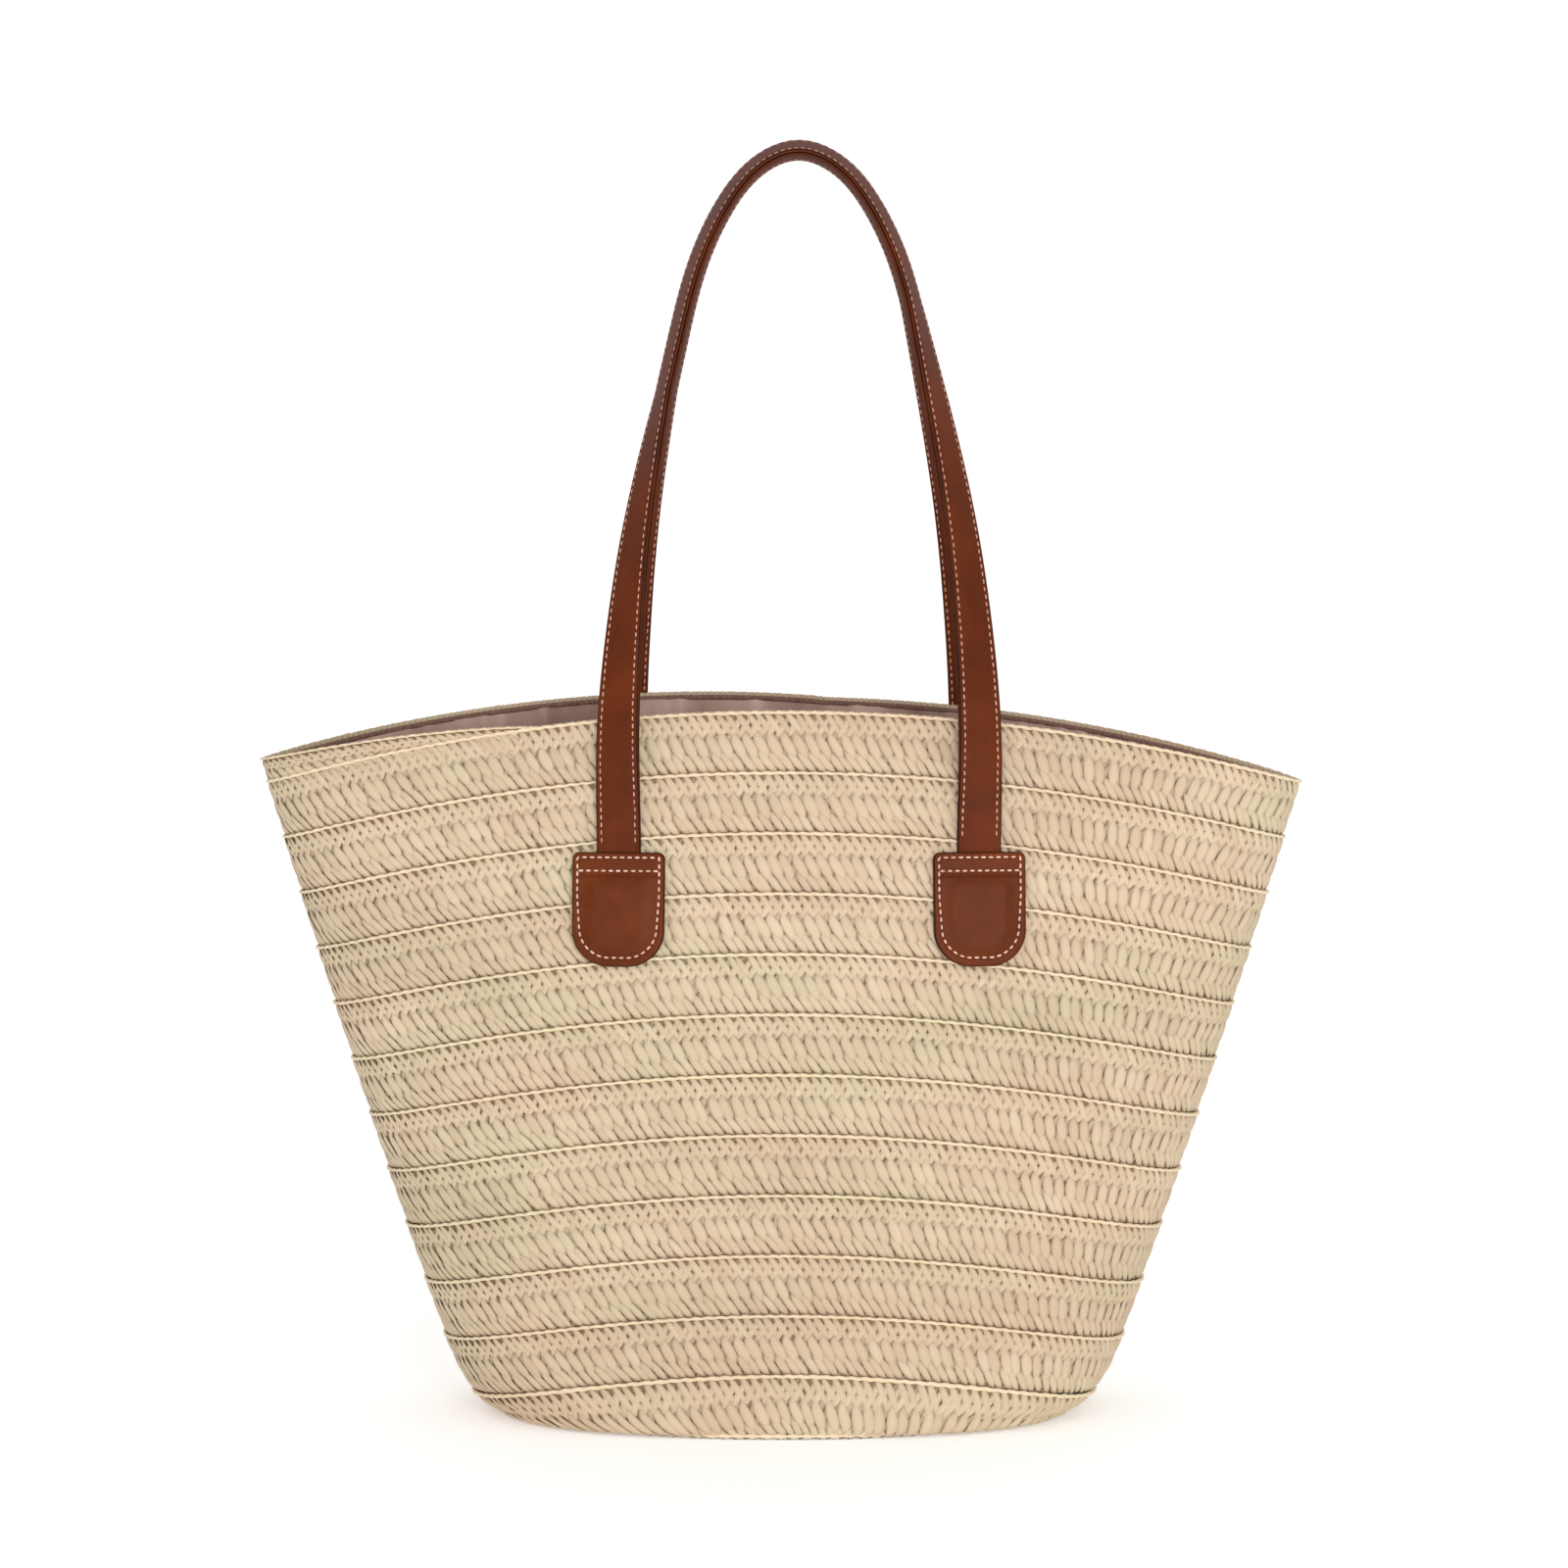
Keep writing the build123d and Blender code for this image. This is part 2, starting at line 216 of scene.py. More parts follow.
def wall_point(angle, z, inset=0.0):
    """Points on the straw's outside, or inset from it, at plan angles and heights."""
    across, deep = plan_point(angle, squareness(z))
    x = (half_length(z) - inset) * across
    y = (half_depth(z) - inset) * deep
    return np.stack([x, y, z + 0.0 * across], -1)


def seam_height(seam, x):
    """Height of a seam between two rows at a place along the bag: an arc, lower at the ends."""
    drop = BASE_DROP + (RIM_DROP - BASE_DROP) * seam / ROW_COUNT
    middle = FLOOR_THICKNESS + seam * ROW_PITCH
    reference = half_length(middle - drop)
    radius = (reference**2 + drop**2) / (2.0 * drop)
    return middle - radius + np.sqrt(radius**2 - x**2)


def tail_rise(x, face):
    """How far the spiral's last turn stands above the last level row, on one face."""
    start = TAIL_START[face]
    share = np.clip((start - x) / (start + RIM_HALF_LENGTH), 0.0, 1.0)
    return TAIL_HEIGHT * share**TAIL_POWER


def rim_height(x, y):
    """Top edge of the finished rim, with the spiral's tapered last turn."""
    front = tail_rise(x, -1)
    back = tail_rise(x, 1)
    return seam_height(ROW_COUNT, x) + np.where(y < 0, front, back)


def height_on_wall(angle, height_of):
    """Height at which a plan angle meets an edge given as a function of x and y."""
    z = np.full_like(angle, BODY_HEIGHT * 0.5)
    for _ in range(12):
        point = wall_point(angle, z)
        z = height_of(point[..., 0], point[..., 1])
    return z


def face_depth(x, z):
    """Depth of the straw's outside at a place on a face."""
    exponent = squareness(z)
    return half_depth(z) * (1.0 - np.abs(x / half_length(z)) ** exponent) ** (1.0 / exponent)


# ---- mesh helpers


def distances_along(points):
    """Distance from the first point of a line to each of its points."""
    return np.concatenate([[0.0], np.cumsum(np.linalg.norm(np.diff(points, axis=0), axis=1))])


def points_at(places, distances, points):
    """Points of a line at given distances along it."""
    return np.stack([np.interp(places, distances, column) for column in points.T], -1)


def ring_angles(count):
    """Angles of a full turn, without the last, which is the first again."""
    return np.linspace(0.0, TURN, count, endpoint=False)


def new_object(name, points, faces, materials):
    """A smooth object made of points in millimetres and faces that all have as many corners."""
    mesh = bpy.data.meshes.new(name)
    points = np.asarray(points, float).reshape(-1, 3) * MM
    faces = np.asarray(faces, np.int32)
    mesh.vertices.add(len(points))
    mesh.vertices.foreach_set("co", points.ravel())
    mesh.loops.add(faces.size)
    mesh.loops.foreach_set("vertex_index", faces.ravel())
    mesh.polygons.add(len(faces))
    mesh.polygons.foreach_set("loop_start", np.arange(0, faces.size, faces.shape[1], dtype=np.int32))
    mesh.polygons.foreach_set("use_smooth", np.full(len(faces), True))
    mesh.update(calc_edges=True)
    mesh.validate()
    for material in materials:
        mesh.materials.append(material)
    obj = bpy.data.objects.new(name, mesh)
    bpy.context.scene.collection.objects.link(obj)
    return obj


def set_straw_attributes(obj, tone, strand, groove_shade):
    """What the straw materials read at every vertex: a tone, an amount of painted shade, and a place on a
    strand.
    """
    for name, values in (("tone", tone), ("strand", strand), ("groove_shade", groove_shade)):
        values = np.asarray(values, np.float32)
        kind, field = ("FLOAT_VECTOR", "vector") if values.ndim == 2 else ("FLOAT", "value")
        attribute = obj.data.attributes.new(name, kind, "POINT")
        attribute.data.foreach_set(field, values.ravel())


def sheet_faces(rows, columns, wrap_rows=False, wrap_columns=False, offset=0):
    """Quads of a grid of points, row by row, that may close on itself either way."""
    row = np.arange(rows if wrap_rows else rows - 1)
    column = np.arange(columns if wrap_columns else columns - 1)
    row, column = np.meshgrid(row, column, indexing="ij")
    next_row = (row + 1) % rows
    next_column = (column + 1) % columns
    corners = [
        row * columns + column,
        next_row * columns + column,
        next_row * columns + next_column,
        row * columns + next_column,
    ]
    return np.stack([corner.ravel() for corner in corners], -1) + offset


def repeat_faces(faces, count, stride):
    """The same faces for count copies of a grid of stride points."""
    starts = np.arange(count)[:, None, None] * stride
    return (faces[None] + starts).reshape(-1, faces.shape[1])


# ---- bands that carry a braid


class Band:
    """A strip of surface: s runs along it in millimetres, v across it from 0 to 1, h stands out of it."""

    def __init__(self, grid, closed=True):
        if closed:
            grid = np.concatenate([grid, grid[:1]])
        along = distances_along(grid[:, grid.shape[1] // 2])
        self.length = along[-1]
        self.closed = closed
        places = np.linspace(0.0, self.length, GRID_COLUMNS + 1)
        even = points_at(places, along, grid.reshape(len(grid), -1))
        self.points = even.reshape(GRID_COLUMNS + 1, grid.shape[1], 3)
        slope_s = np.gradient(self.points, axis=0)
        if closed:
            wrap = self.points[1] - self.points[-2]
            slope_s[0] = wrap
            slope_s[-1] = wrap
        normals = np.cross(slope_s, np.gradient(self.points, axis=1))
        self.normals = normals / np.linalg.norm(normals, axis=-1, keepdims=True)

    def at(self, s, v, h):
        """Points of the band's surface, raised by h."""
        s, v, h = np.broadcast_arrays(s, v, h)
        column = s / self.length * GRID_COLUMNS
        column = column % GRID_COLUMNS if self.closed else np.clip(column, 0.0, GRID_COLUMNS - 1e-6)
        rows = self.points.shape[1]
        row = np.clip(v, 0.0, 1.0) * (rows - 1)
        i = np.minimum(column.astype(int), GRID_COLUMNS - 1)
        j = np.minimum(row.astype(int), rows - 2)
        p = (column - i)[..., None]
        q = (row - j)[..., None]

        def mix(field):
            low = field[i, j] * (1 - p) + field[i + 1, j] * p
            high = field[i, j + 1] * (1 - p) + field[i + 1, j + 1] * p
            return low * (1 - q) + high * q

        return mix(self.points) + mix(self.normals) * h[..., None]


PLAN_ANGLES = ring_angles(2400)


def row_band(row):
    """The wall's surface between two seams. The first row runs on under the foot to the base coil."""
    top = height_on_wall(PLAN_ANGLES, lambda x, y: seam_height(row, x))
    if row > 1:
        bottom = height_on_wall(PLAN_ANGLES, lambda x, y: seam_height(row - 1, x))
        v = np.linspace(0.0, 1.0, GRID_ROWS)
        z = bottom[:, None] + (top - bottom)[:, None] * v
        return Band(wall_point(PLAN_ANGLES[:, None], z))
    steps = np.linspace(1.0, 0.0, 60)
    z = FOOT_LIFT + (top - FOOT_LIFT)[:, None] * steps
    wall = wall_point(PLAN_ANGLES[:, None], z)
    across, deep = plan_point(PLAN_ANGLES, COIL_SQUARENESS)
    edge_height = np.full_like(across, FOOT_LIFT)
    coil_edge = np.stack([COIL_HALF_LENGTH * across, (COIL_HALF_DEPTH - 2.0) * deep, edge_height], -1)
    path = np.concatenate([wall, coil_edge[:, None]], 1)[:, ::-1]
    even = []
    for line in path:
        distances = distances_along(line)
        even.append(points_at(np.linspace(0.0, distances[-1], GRID_ROWS), distances, line))
    return Band(np.stack(even))


def coil_band(ring):
    """The underside of one ring of the base coil, facing down."""
    across, deep = plan_point(-PLAN_ANGLES, COIL_SQUARENESS)
    v = np.linspace(0.0, 1.0, GRID_ROWS)
    inner = ring + 1 if ring < COIL_RINGS - 1 else ring + 0.86
    inset = (inner + (ring - inner) * v) * BRAID_WIDTH
    x = (COIL_HALF_LENGTH - inset)[None] * across[:, None]
    y = (COIL_HALF_DEPTH - inset)[None] * deep[:, None]
    return Band(np.stack([x, y, np.full_like(x, FOOT_LIFT - 0.2)], -1))


def tail_band():
    """The strip of the spiral's last turn, from the front, round the left end, to the back."""
    reach = 14.0
    angles = np.linspace(TURN * 0.24, TURN * 0.68, 1400)
    top = height_on_wall(angles, rim_height)
    v = np.linspace(0.0, 1.0, GRID_ROWS)
    z = top[:, None] - reach * (1.0 - v)
    return Band(wall_point(angles[:, None], z, inset=0.2), closed=False)


# ---- braid


def wander(s, length, period, seed):
    """A slow wave along a band, from -1 to 1, that meets itself where the band closes."""
    noise = np.random.default_rng(seed)
    turns = max(1, round(length / period))
    total = 0.0 * s
    for turn, size in ((turns, 0.5), (turns + 2, 0.3), (2 * turns + 1, 0.2)):
        total = total + size * np.sin(TURN * s * turn / length + noise.uniform(0, TURN))
    return total


def floats(band, seed, low, high, pitch, travel, width, lift, bow=0.5, tuck=0.6, steps=9, curve=0.0,
           shade=0.0, crown=CROWN, fan=0.0, gaps=0.0, point=0.6):
    """A line of strand floats across part of a band, each rising out of the plait and tucking back in.

    low and high are shares of the band's width. travel is how far a float runs sideways from its upper
    end to its lower end. Points, faces, and each point's tone, place on its strand and painted groove shade
    come back.
    """
    noise = np.random.default_rng(seed)
    count = int(round(band.length / pitch))
    pitch = band.length / count
    if not band.closed:
        count -= 3

    def each(spread):
        return noise.normal(0.0, spread, count)[:, None, None]

    u = np.linspace(0.0, 1.0, steps)[None, :, None]
    t = np.linspace(-1.0, 1.0, STRAND_ACROSS)[None, None, :]
    start = (np.arange(count) * pitch)[:, None, None] + each(0.07 * pitch)
    upper = high + each(0.008)
    lower = low + each(0.010)
    v = upper + (lower - upper) * u
    place = band.at(start, 0.5, 0.0)
    turned = np.clip((place[..., 0] - FAN_START) / FAN_LENGTH, 0.0, 1.0) * (place[..., 1] < 0)
    lean = 1.0 + 0.12 * wander(start, band.length, LEAN_PERIOD, seed + 1) + each(0.05) - fan * turned
    eased = u - 0.5 + curve * np.sin(TURN * u) / TURN
    s_middle = start + travel * lean * eased
    step_s = np.gradient(s_middle, axis=1)
    step_v = np.gradient(v, axis=1) * BRAID_WIDTH
    step = np.sqrt(step_s**2 + step_v**2)
    swell = np.sin(math.pi * u)
    taper = FLOAT_END_WIDTH + (1.0 - FLOAT_END_WIDTH) * swell**point
    half_width = width * (1.0 + each(0.05)) * taper / 2.0
    side_s = -step_v / step * t * half_width
    side_v = step_s / step * t * half_width / BRAID_WIDTH
    open_gap = gaps * (noise.random(count) < OPEN_SHARE)[:, None, None]
    h = lift + each(0.05) + bow * swell**0.8 - tuck * (1.0 - swell) ** 2 - open_gap * (1.0 - swell)
    h = h + crown * (1.0 - t**2) + (0.14 + each(0.05)) * t + SHINGLE_LOW + (SHINGLE_HIGH - SHINGLE_LOW) * v
    points = band.at(s_middle + side_s, np.clip(v + side_v, 0.0, 0.995), h)
    faces = repeat_faces(sheet_faces(steps, STRAND_ACROSS), count, steps * STRAND_ACROSS)[:, ::-1]
    tone = each(1.0) + 0.0 * h
    # Painted shade: darker towards each strand's edges and tucked-in ends, where the plait's grooves are;
    # shade darkens a whole layer that lies deeper
    groove_shade = crown / CROWN * (0.8 * np.abs(t) ** 2.5 + 0.9 * (1.0 - swell) ** 2)
    groove_shade = np.clip(groove_shade + shade, 0.0, 1.0) + 0.0 * h
    strand = np.stack(np.broadcast_arrays(
        t * half_width + 17.0 * np.arange(count)[:, None, None],
        u * (high - low) * BRAID_WIDTH,
        90.0 * noise.random(count)[:, None, None],
    ), -1)
    return points.reshape(-1, 3), faces, tone.ravel(), strand.reshape(-1, 3), groove_shade.ravel()


def plait(band, seed, depth=0.0, top=0.97):
    """The floats of a braid: some behind, slanted at the foot, crossed at the head, petals between."""
    # The layer behind is darkened with shade=0.4: painted shade, as it lies deeper in the plait
    behind = floats(band, seed + 1, low=0.0, high=top, pitch=4.1, travel=-16.0, width=4.0,
                    lift=depth - 0.9, bow=0.1, tuck=0.1, shade=0.4)
    foot = floats(band, seed + 2, low=-0.02, high=0.36, pitch=4.2, travel=7.6, width=3.4,
                  lift=depth - 0.1, crown=0.5, gaps=0.5)
    head = floats(band, seed + 3, low=0.60, high=top + 0.03, pitch=4.3, travel=7.0, width=3.0,
                  lift=depth - 0.05, crown=0.5, gaps=0.3)
    crossing = floats(band, seed + 5, low=0.56, high=0.92, pitch=4.3, travel=-5.8, width=3.1,
                      lift=depth - 0.2, crown=0.5, gaps=0.5)
    petals = floats(band, seed + 4, low=0.18, high=0.70, pitch=STRAND_PITCH, travel=4.2, width=4.8,
                    lift=depth, steps=11, curve=-0.9, crown=0.55, fan=1.7, point=0.85)
    return [(STRAW_SLOT, line) for line in (behind, foot, head, crossing, petals)]


def edge_cord(band, seed, radius=0.85, out=0.62):
    """The folded edge of the braid: a cord with a bump for every strand that turns back over it, drawn in
    brighter straw as painted highlight.
    """
    noise = np.random.default_rng(seed)
    ring = 8
    per_strand = 6
    count = int(round(band.length / STRAND_PITCH)) * per_strand
    s = np.linspace(0.0, band.length, count, endpoint=not band.closed)[:, None]
    angle = ring_angles(ring)[None]
    strand = np.floor(np.arange(count) / per_strand).astype(int)
    sizes = noise.normal(1.0, 0.08, strand.max() + 1)[strand][:, None]
    phase = TURN * (np.arange(count) % per_strand)[:, None] / per_strand
    swell = radius * sizes * (1.0 + 0.2 * np.cos(phase) + 0.1 * np.cos(2 * angle + phase))
    along = s + 0.9 * np.sin(angle)
    across = CORD_PLACE + swell * 0.85 * np.sin(angle) / BRAID_WIDTH + 0.006 * np.sin(phase)
    h = out + swell * np.cos(angle) + 0.12 * np.sin(phase)
    over = np.clip(across - 1.0, 0.0, None) * BRAID_WIDTH
    points = band.at(along, np.minimum(across, 1.0), h)
    up = band.at(s, 1.0, h) - band.at(s, 0.97, h)
    up /= np.linalg.norm(up, axis=-1, keepdims=True)
    points = points + up * over[..., None]
    faces = sheet_faces(count, ring, wrap_rows=band.closed, wrap_columns=True)
    tone = noise.normal(0, 0.6, strand.max() + 1)[strand][:, None] + 0.0 * h
    strand = np.stack(np.broadcast_arrays(along, angle, 0.0), -1)
    return points.reshape(-1, 3), faces, tone.ravel(), strand.reshape(-1, 3), 0.0 * tone.ravel()


def backing(band, high=0.97, depth=-0.75):
    """A sheet of darker straw inside the braid, seen through the small holes between strands: painted shade.
    """
    columns = 260
    rows = 9
    s = np.linspace(0.0, band.length, columns, endpoint=not band.closed)[:, None]
    v = np.linspace(0.0, high, rows)[None]
    points = band.at(s, v, depth - 0.6 + 1.35 * v)
    faces = sheet_faces(columns, rows, wrap_rows=band.closed)
    flat = np.zeros(columns * rows)
    return points.reshape(-1, 3), faces, flat, points.reshape(-1, 3), flat


def braid_piece(name, parts):
    """One row of braid as one object. Each part is a material slot and what floats() returns."""
    offset = 0
    faces = []
    slots = []
    for slot, part in parts:
        faces.append(part[1] + offset)
        slots.append(np.full(len(part[1]), slot, np.int32))
        offset += len(part[0])
    columns = zip(*(part for _, part in parts))
    points, _, tone, strand, groove_shade = (np.concatenate(column) for column in columns)
    obj = new_object(name, points, np.concatenate(faces), [STRAW, CORD_PAINTED_HIGHLIGHT, SHADED_STRAW_INSIDE])
    obj.data.polygons.foreach_set("material_index", np.concatenate(slots))
    set_straw_attributes(obj, tone, strand, groove_shade)
    return obj


# ---- materials


class Graph:
    """A material's node tree, with short calls for the nodes it is built from."""

    def __init__(self, name):
        self.material = bpy.data.materials.new(name)
        self.material.use_nodes = True
        self.nodes = self.material.node_tree.nodes
        self.links = self.material.node_tree.links
        self.shader = self.nodes["Principled BSDF"]

    def node(self, kind, inputs=None, **settings):
        node = self.nodes.new(kind)
        for key, value in settings.items():
            setattr(node, key, value)
        for key, value in (inputs or {}).items():
            self.feed(node.inputs[key], value)
        return node

    def feed(self, socket, value):
        if isinstance(value, bpy.types.NodeSocket):
            self.links.new(value, socket)
        else:
            socket.default_value = value

    def set(self, **values):
        """Values of the shader's inputs, with _ for each space in a name."""
        for key, value in values.items():
            self.feed(self.shader.inputs[key.replace("_", " ")], value)

    def attribute(self, name, output="Fac"):
        return self.node("ShaderNodeAttribute", attribute_name=name).outputs[output]

    def position(self):
        return self.node("ShaderNodeTexCoord").outputs["Object"]

    def stretched(self, vector, scale):
        return self.node("ShaderNodeMapping", {"Vector": vector, "Scale": scale}).outputs["Vector"]

    def noise(self, vector, scale, detail=3.0, roughness=0.5):
        values = {"Vector": vector, "Scale": scale, "Detail": detail, "Roughness": roughness}
        return self.node("ShaderNodeTexNoise", values).outputs["Fac"]

    def ramp(self, factor, places, colours):
        """Linear colours at places from 0 to 1."""
        node = self.node("ShaderNodeValToRGB", {"Fac": factor})
        elements = node.color_ramp.elements
        while len(elements) < len(places):
            elements.new(0.5)
        for element, place, colour in zip(elements, places, colours):
            element.position = place
            element.color = (*colour, 1.0)
        return node.outputs["Color"]

    def shades(self, factor, places, colours):
        """The same, with display colours from 0 to 255."""
        return self.ramp(factor, places, [linear(colour) for colour in colours])

    def math(self, operation, a, b=0.0, clamp=False):
        node = self.node("ShaderNodeMath", operation=operation, use_clamp=clamp)
        self.feed(node.inputs[0], a)
        self.feed(node.inputs[1], b)
        return node.outputs[0]

    def mix(self, factor, a, b, blend="MIX"):
        node = self.node("ShaderNodeMix", data_type="RGBA", blend_type=blend)
        self.feed(node.inputs["Factor"], factor)
        self.feed(node.inputs[6], a)
        self.feed(node.inputs[7], b)
        return node.outputs[2]

    def bump(self, height, strength, distance):
        values = {"Height": height, "Strength": strength, "Distance": distance}
        self.feed(self.shader.inputs["Normal"], self.node("ShaderNodeBump", values).outputs["Normal"])


def linear(colour):
    """A display colour, 0 to 255, as the linear values that shaders use."""
    values = np.array(colour) / 255.0
    return np.where(values <= 0.04045, values / 12.92, ((values + 0.055) / 1.055) ** 2.4)


def straw_material(name, shades, tone_strength):
    """Paper straw: each strand's own tone, fine fibres, painted shade in the grooves, faint rosy and green
    patches.
    """
    g = Graph(name)
    fibres = g.noise(g.stretched(g.attribute("strand", "Vector"), (3.2, 0.12, 1.0)), 1.0, 4.0, 0.6)
    along_rows = g.stretched(g.position(), (0.6, 0.6, 1.7))
    patches = g.noise(along_rows, 14.0, 2.0)
    tone = g.math("MULTIPLY", g.attribute("tone"), tone_strength)
    shade = g.math("ADD", g.math("MULTIPLY", fibres, 0.5), g.math("MULTIPLY", patches, 0.5))
    colour = g.shades(g.math("ADD", shade, tone, clamp=True), (0.2, 0.5, 0.8), shades)
    hue = g.noise(along_rows, 19.0, 2.0)
    hue = g.math("ADD", hue, g.math("MULTIPLY", g.attribute("tone"), 0.015), clamp=True)
    tint = g.ramp(hue, (0.36, 0.5, 0.64), (ROSY_TINT, (1.0, 1.0, 1.0), GREEN_TINT))
    colour = g.mix(1.0, colour, tint, "MULTIPLY")
    # Painted shade: strands' edges and ends, and deeper layers, are mixed towards a dark brown tint
    groove_shade = g.math("POWER", g.attribute("groove_shade"), 1.6)
    colour = g.mix(g.math("MULTIPLY", groove_shade, 0.6), colour, g.mix(1.0, colour, GROOVE_SHADE_TINT, "MULTIPLY"))
    g.set(Base_Color=colour, Roughness=g.math("ADD", g.math("MULTIPLY", fibres, 0.25), 0.5))
    g.set(Specular_IOR_Level=0.25)
    g.bump(fibres, 0.35, 0.0004)
    return g.material


def leather_material(name, shades, roughness):
    """Smooth faux leather: a fine pebble grain, mottled colour and a soft semi-gloss."""
    g = Graph(name)
    place = g.position()
    mottle = g.noise(place, 42.0, 5.0, 0.6)
    grain_cells = g.node(
        "ShaderNodeTexVoronoi", {"Vector": place, "Scale": 1500.0}, feature="DISTANCE_TO_EDGE"
    ).outputs["Distance"]
    pores = g.noise(place, 2600.0, 2.0)
    colour = g.shades(mottle, (0.3, 0.5, 0.72), shades)
    grain = g.math("ADD", g.math("MULTIPLY", grain_cells, 1.6, clamp=True), g.math("MULTIPLY", pores, 0.4))
    g.set(Base_Color=colour, Roughness=g.math("ADD", g.math("MULTIPLY", mottle, 0.14), roughness))
    g.set(Specular_IOR_Level=0.1)
    g.bump(grain, 0.22, 0.00025)
    return g.material


def thread_material(name, shades):
    """Waxed sewing thread, finely twisted and worn darker in places."""
    g = Graph(name)
    place = g.position()
    wear = g.noise(place, 160.0, 3.0)
    twist = g.noise(g.stretched(place, (1.0, 1.0, 2.0)), 2600.0, 2.0)
    colour = g.shades(wear, (0.3, 0.55, 0.8), shades)
    g.set(Base_Color=colour, Roughness=0.62)
    g.bump(twist, 0.4, 0.0002)
    return g.material


def satin_material():
    """Mauve-taupe satin: soft streaks of lighter and darker colour that paint the light and shade of folds,
    a fine twill and a sheen.
    """
    g = Graph("satin_lining")
    place = g.position()
    # Painted light and shade of folds: soft, upright streaks of lighter and darker colour
    tone = g.noise(g.stretched(place, (1.0, 1.0, 0.5)), 22.0, 4.0, 0.55)
    twill = g.node(
        "ShaderNodeTexWave", {"Vector": place, "Scale": 900.0, "Distortion": 1.5, "Detail": 2.0},
        wave_type="BANDS", bands_direction="DIAGONAL",
    ).outputs["Fac"]
    colour = g.shades(tone, (0.3, 0.5, 0.7), [(144, 112, 98), (169, 136, 121), (198, 167, 152)])
    g.set(Base_Color=colour, Roughness=0.44, Sheen_Weight=0.5, Sheen_Roughness=0.4)
    g.bump(twill, 0.15, 0.0001)
    return g.material


def tape_material():
    """Brown woven binding tape with ribs across it."""
    g = Graph("brown_tape")
    place = g.position()
    ribs = g.noise(g.stretched(place, (1.0, 1.0, 0.2)), 1400.0, 2.0)
    colour = g.shades(ribs, (0.3, 0.6, 0.8), [(98, 66, 54), (126, 90, 76), (150, 114, 98)])
    g.set(Base_Color=colour, Roughness=0.7)
    g.bump(ribs, 0.5, 0.0003)
    return g.material


def felt_material():
    """Pressed fibre felt of the hidden reinforcing patches."""
    g = Graph("patch_felt")
    fibres = g.noise(g.position(), 700.0, 6.0, 0.7)
    colour = g.shades(fibres, (0.3, 0.7), [(96, 84, 72), (150, 134, 116)])
    g.set(Base_Color=colour, Roughness=0.95)
    g.bump(fibres, 0.6, 0.0004)
    return g.material


STRAW = straw_material("straw", [(184, 163, 136), (200, 179, 151), (214, 194, 167)], 0.05)
# Brighter straw for the raised edge cords: painted highlight
CORD_PAINTED_HIGHLIGHT = straw_material("straw_edge_cord_painted_highlight", [(212, 190, 158), (226, 205, 174), (236, 217, 188)], 0.05)
# Darker straw for the braid's inside, seen through its holes: painted shade
SHADED_STRAW_INSIDE = straw_material("straw_inside_painted_shade", [(120, 97, 72), (138, 113, 86), (150, 125, 98)], 0.0)
STRAW_RIM = straw_material("straw_rim", [(150, 130, 104), (186, 164, 136), (210, 188, 162)], 0.14)
STRAP_LEATHER = leather_material("strap_leather", [(82, 33, 8), (91, 37, 10), (102, 43, 12)], 0.48)
TAB_LEATHER = leather_material("tab_leather", [(84, 35, 9), (96, 41, 11), (107, 48, 14)], 0.38)
# Near-black edge paint; on the straps it also paints the shade of the gap between the plies
EDGE_PAINT_AND_GAP_SHADE = leather_material("edge_paint_and_gap_shade", [(36, 13, 6), (48, 19, 8), (60, 25, 12)], 0.5)
STRAP_THREAD = thread_material("strap_thread", [(176, 126, 106), (202, 154, 134), (220, 178, 158)])
TAB_THREAD = thread_material("tab_thread", [(196, 148, 130), (220, 180, 160), (236, 206, 188)])
SATIN = satin_material()
TAPE = tape_material()
FELT = felt_material()

# ---- woven pieces


def finish_piece(obj, slot, *nodes):
    """Put a piece on the bag's body, in place of its CAD nodes."""
    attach(obj, "bag_body")
    if nodes:
        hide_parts(*nodes)


def make_rows():
    """The rows of the wall, each with its cord along the top and its dark inside, which is painted shade."""
    for row in range(1, ROW_COUNT + 1):
        name = f"braid_row_{row:02d}"
        band = row_band(row)
        seed = 1000 * row
        parts = plait(band, seed)
        parts += [(CORD_SLOT, edge_cord(band, seed + 200)), (SHADED_INSIDE_SLOT, backing(band))]
        finish_piece(braid_piece(f"woven_{name}", parts), "straw_braid", name)


def make_base():
    """The rings of the base coil. Only the outermost shows its cord."""
    for ring in range(COIL_RINGS):
        name = f"base_row_{COIL_RINGS - ring}"
        band = coil_band(ring)
        seed = 20000 + 1000 * ring
        parts = plait(band, seed, depth=-0.45) + [(SHADED_INSIDE_SLOT, backing(band, high=1.0))]
        if ring == 0:
            parts.append((CORD_SLOT, edge_cord(band, seed + 200, radius=0.9, out=0.3)))
        finish_piece(braid_piece(f"woven_{name}", parts), "straw_braid", name)


def make_tail():
    """The tapered last turn of the spiral, at the rim's left end."""
    band = tail_band()
    parts = plait(band, 31000, depth=-0.1, top=0.93)
    parts += [(CORD_SLOT, edge_cord(band, 31200, out=0.6)), (SHADED_INSIDE_SLOT, backing(band, depth=-0.9))]
    finish_piece(braid_piece("woven_braid_tail", parts), "straw_braid", "braid_tail")


make_rows()
make_base()
make_tail()

# ---- rim, lining and tape


def rim_ring(angles, top, inset, rise):
    """Points all round the rim, inset from the straw's outside and above or below the rim's edge."""
    ring = wall_point(angles, top, inset)
    ring[:, 2] += rise
    return ring


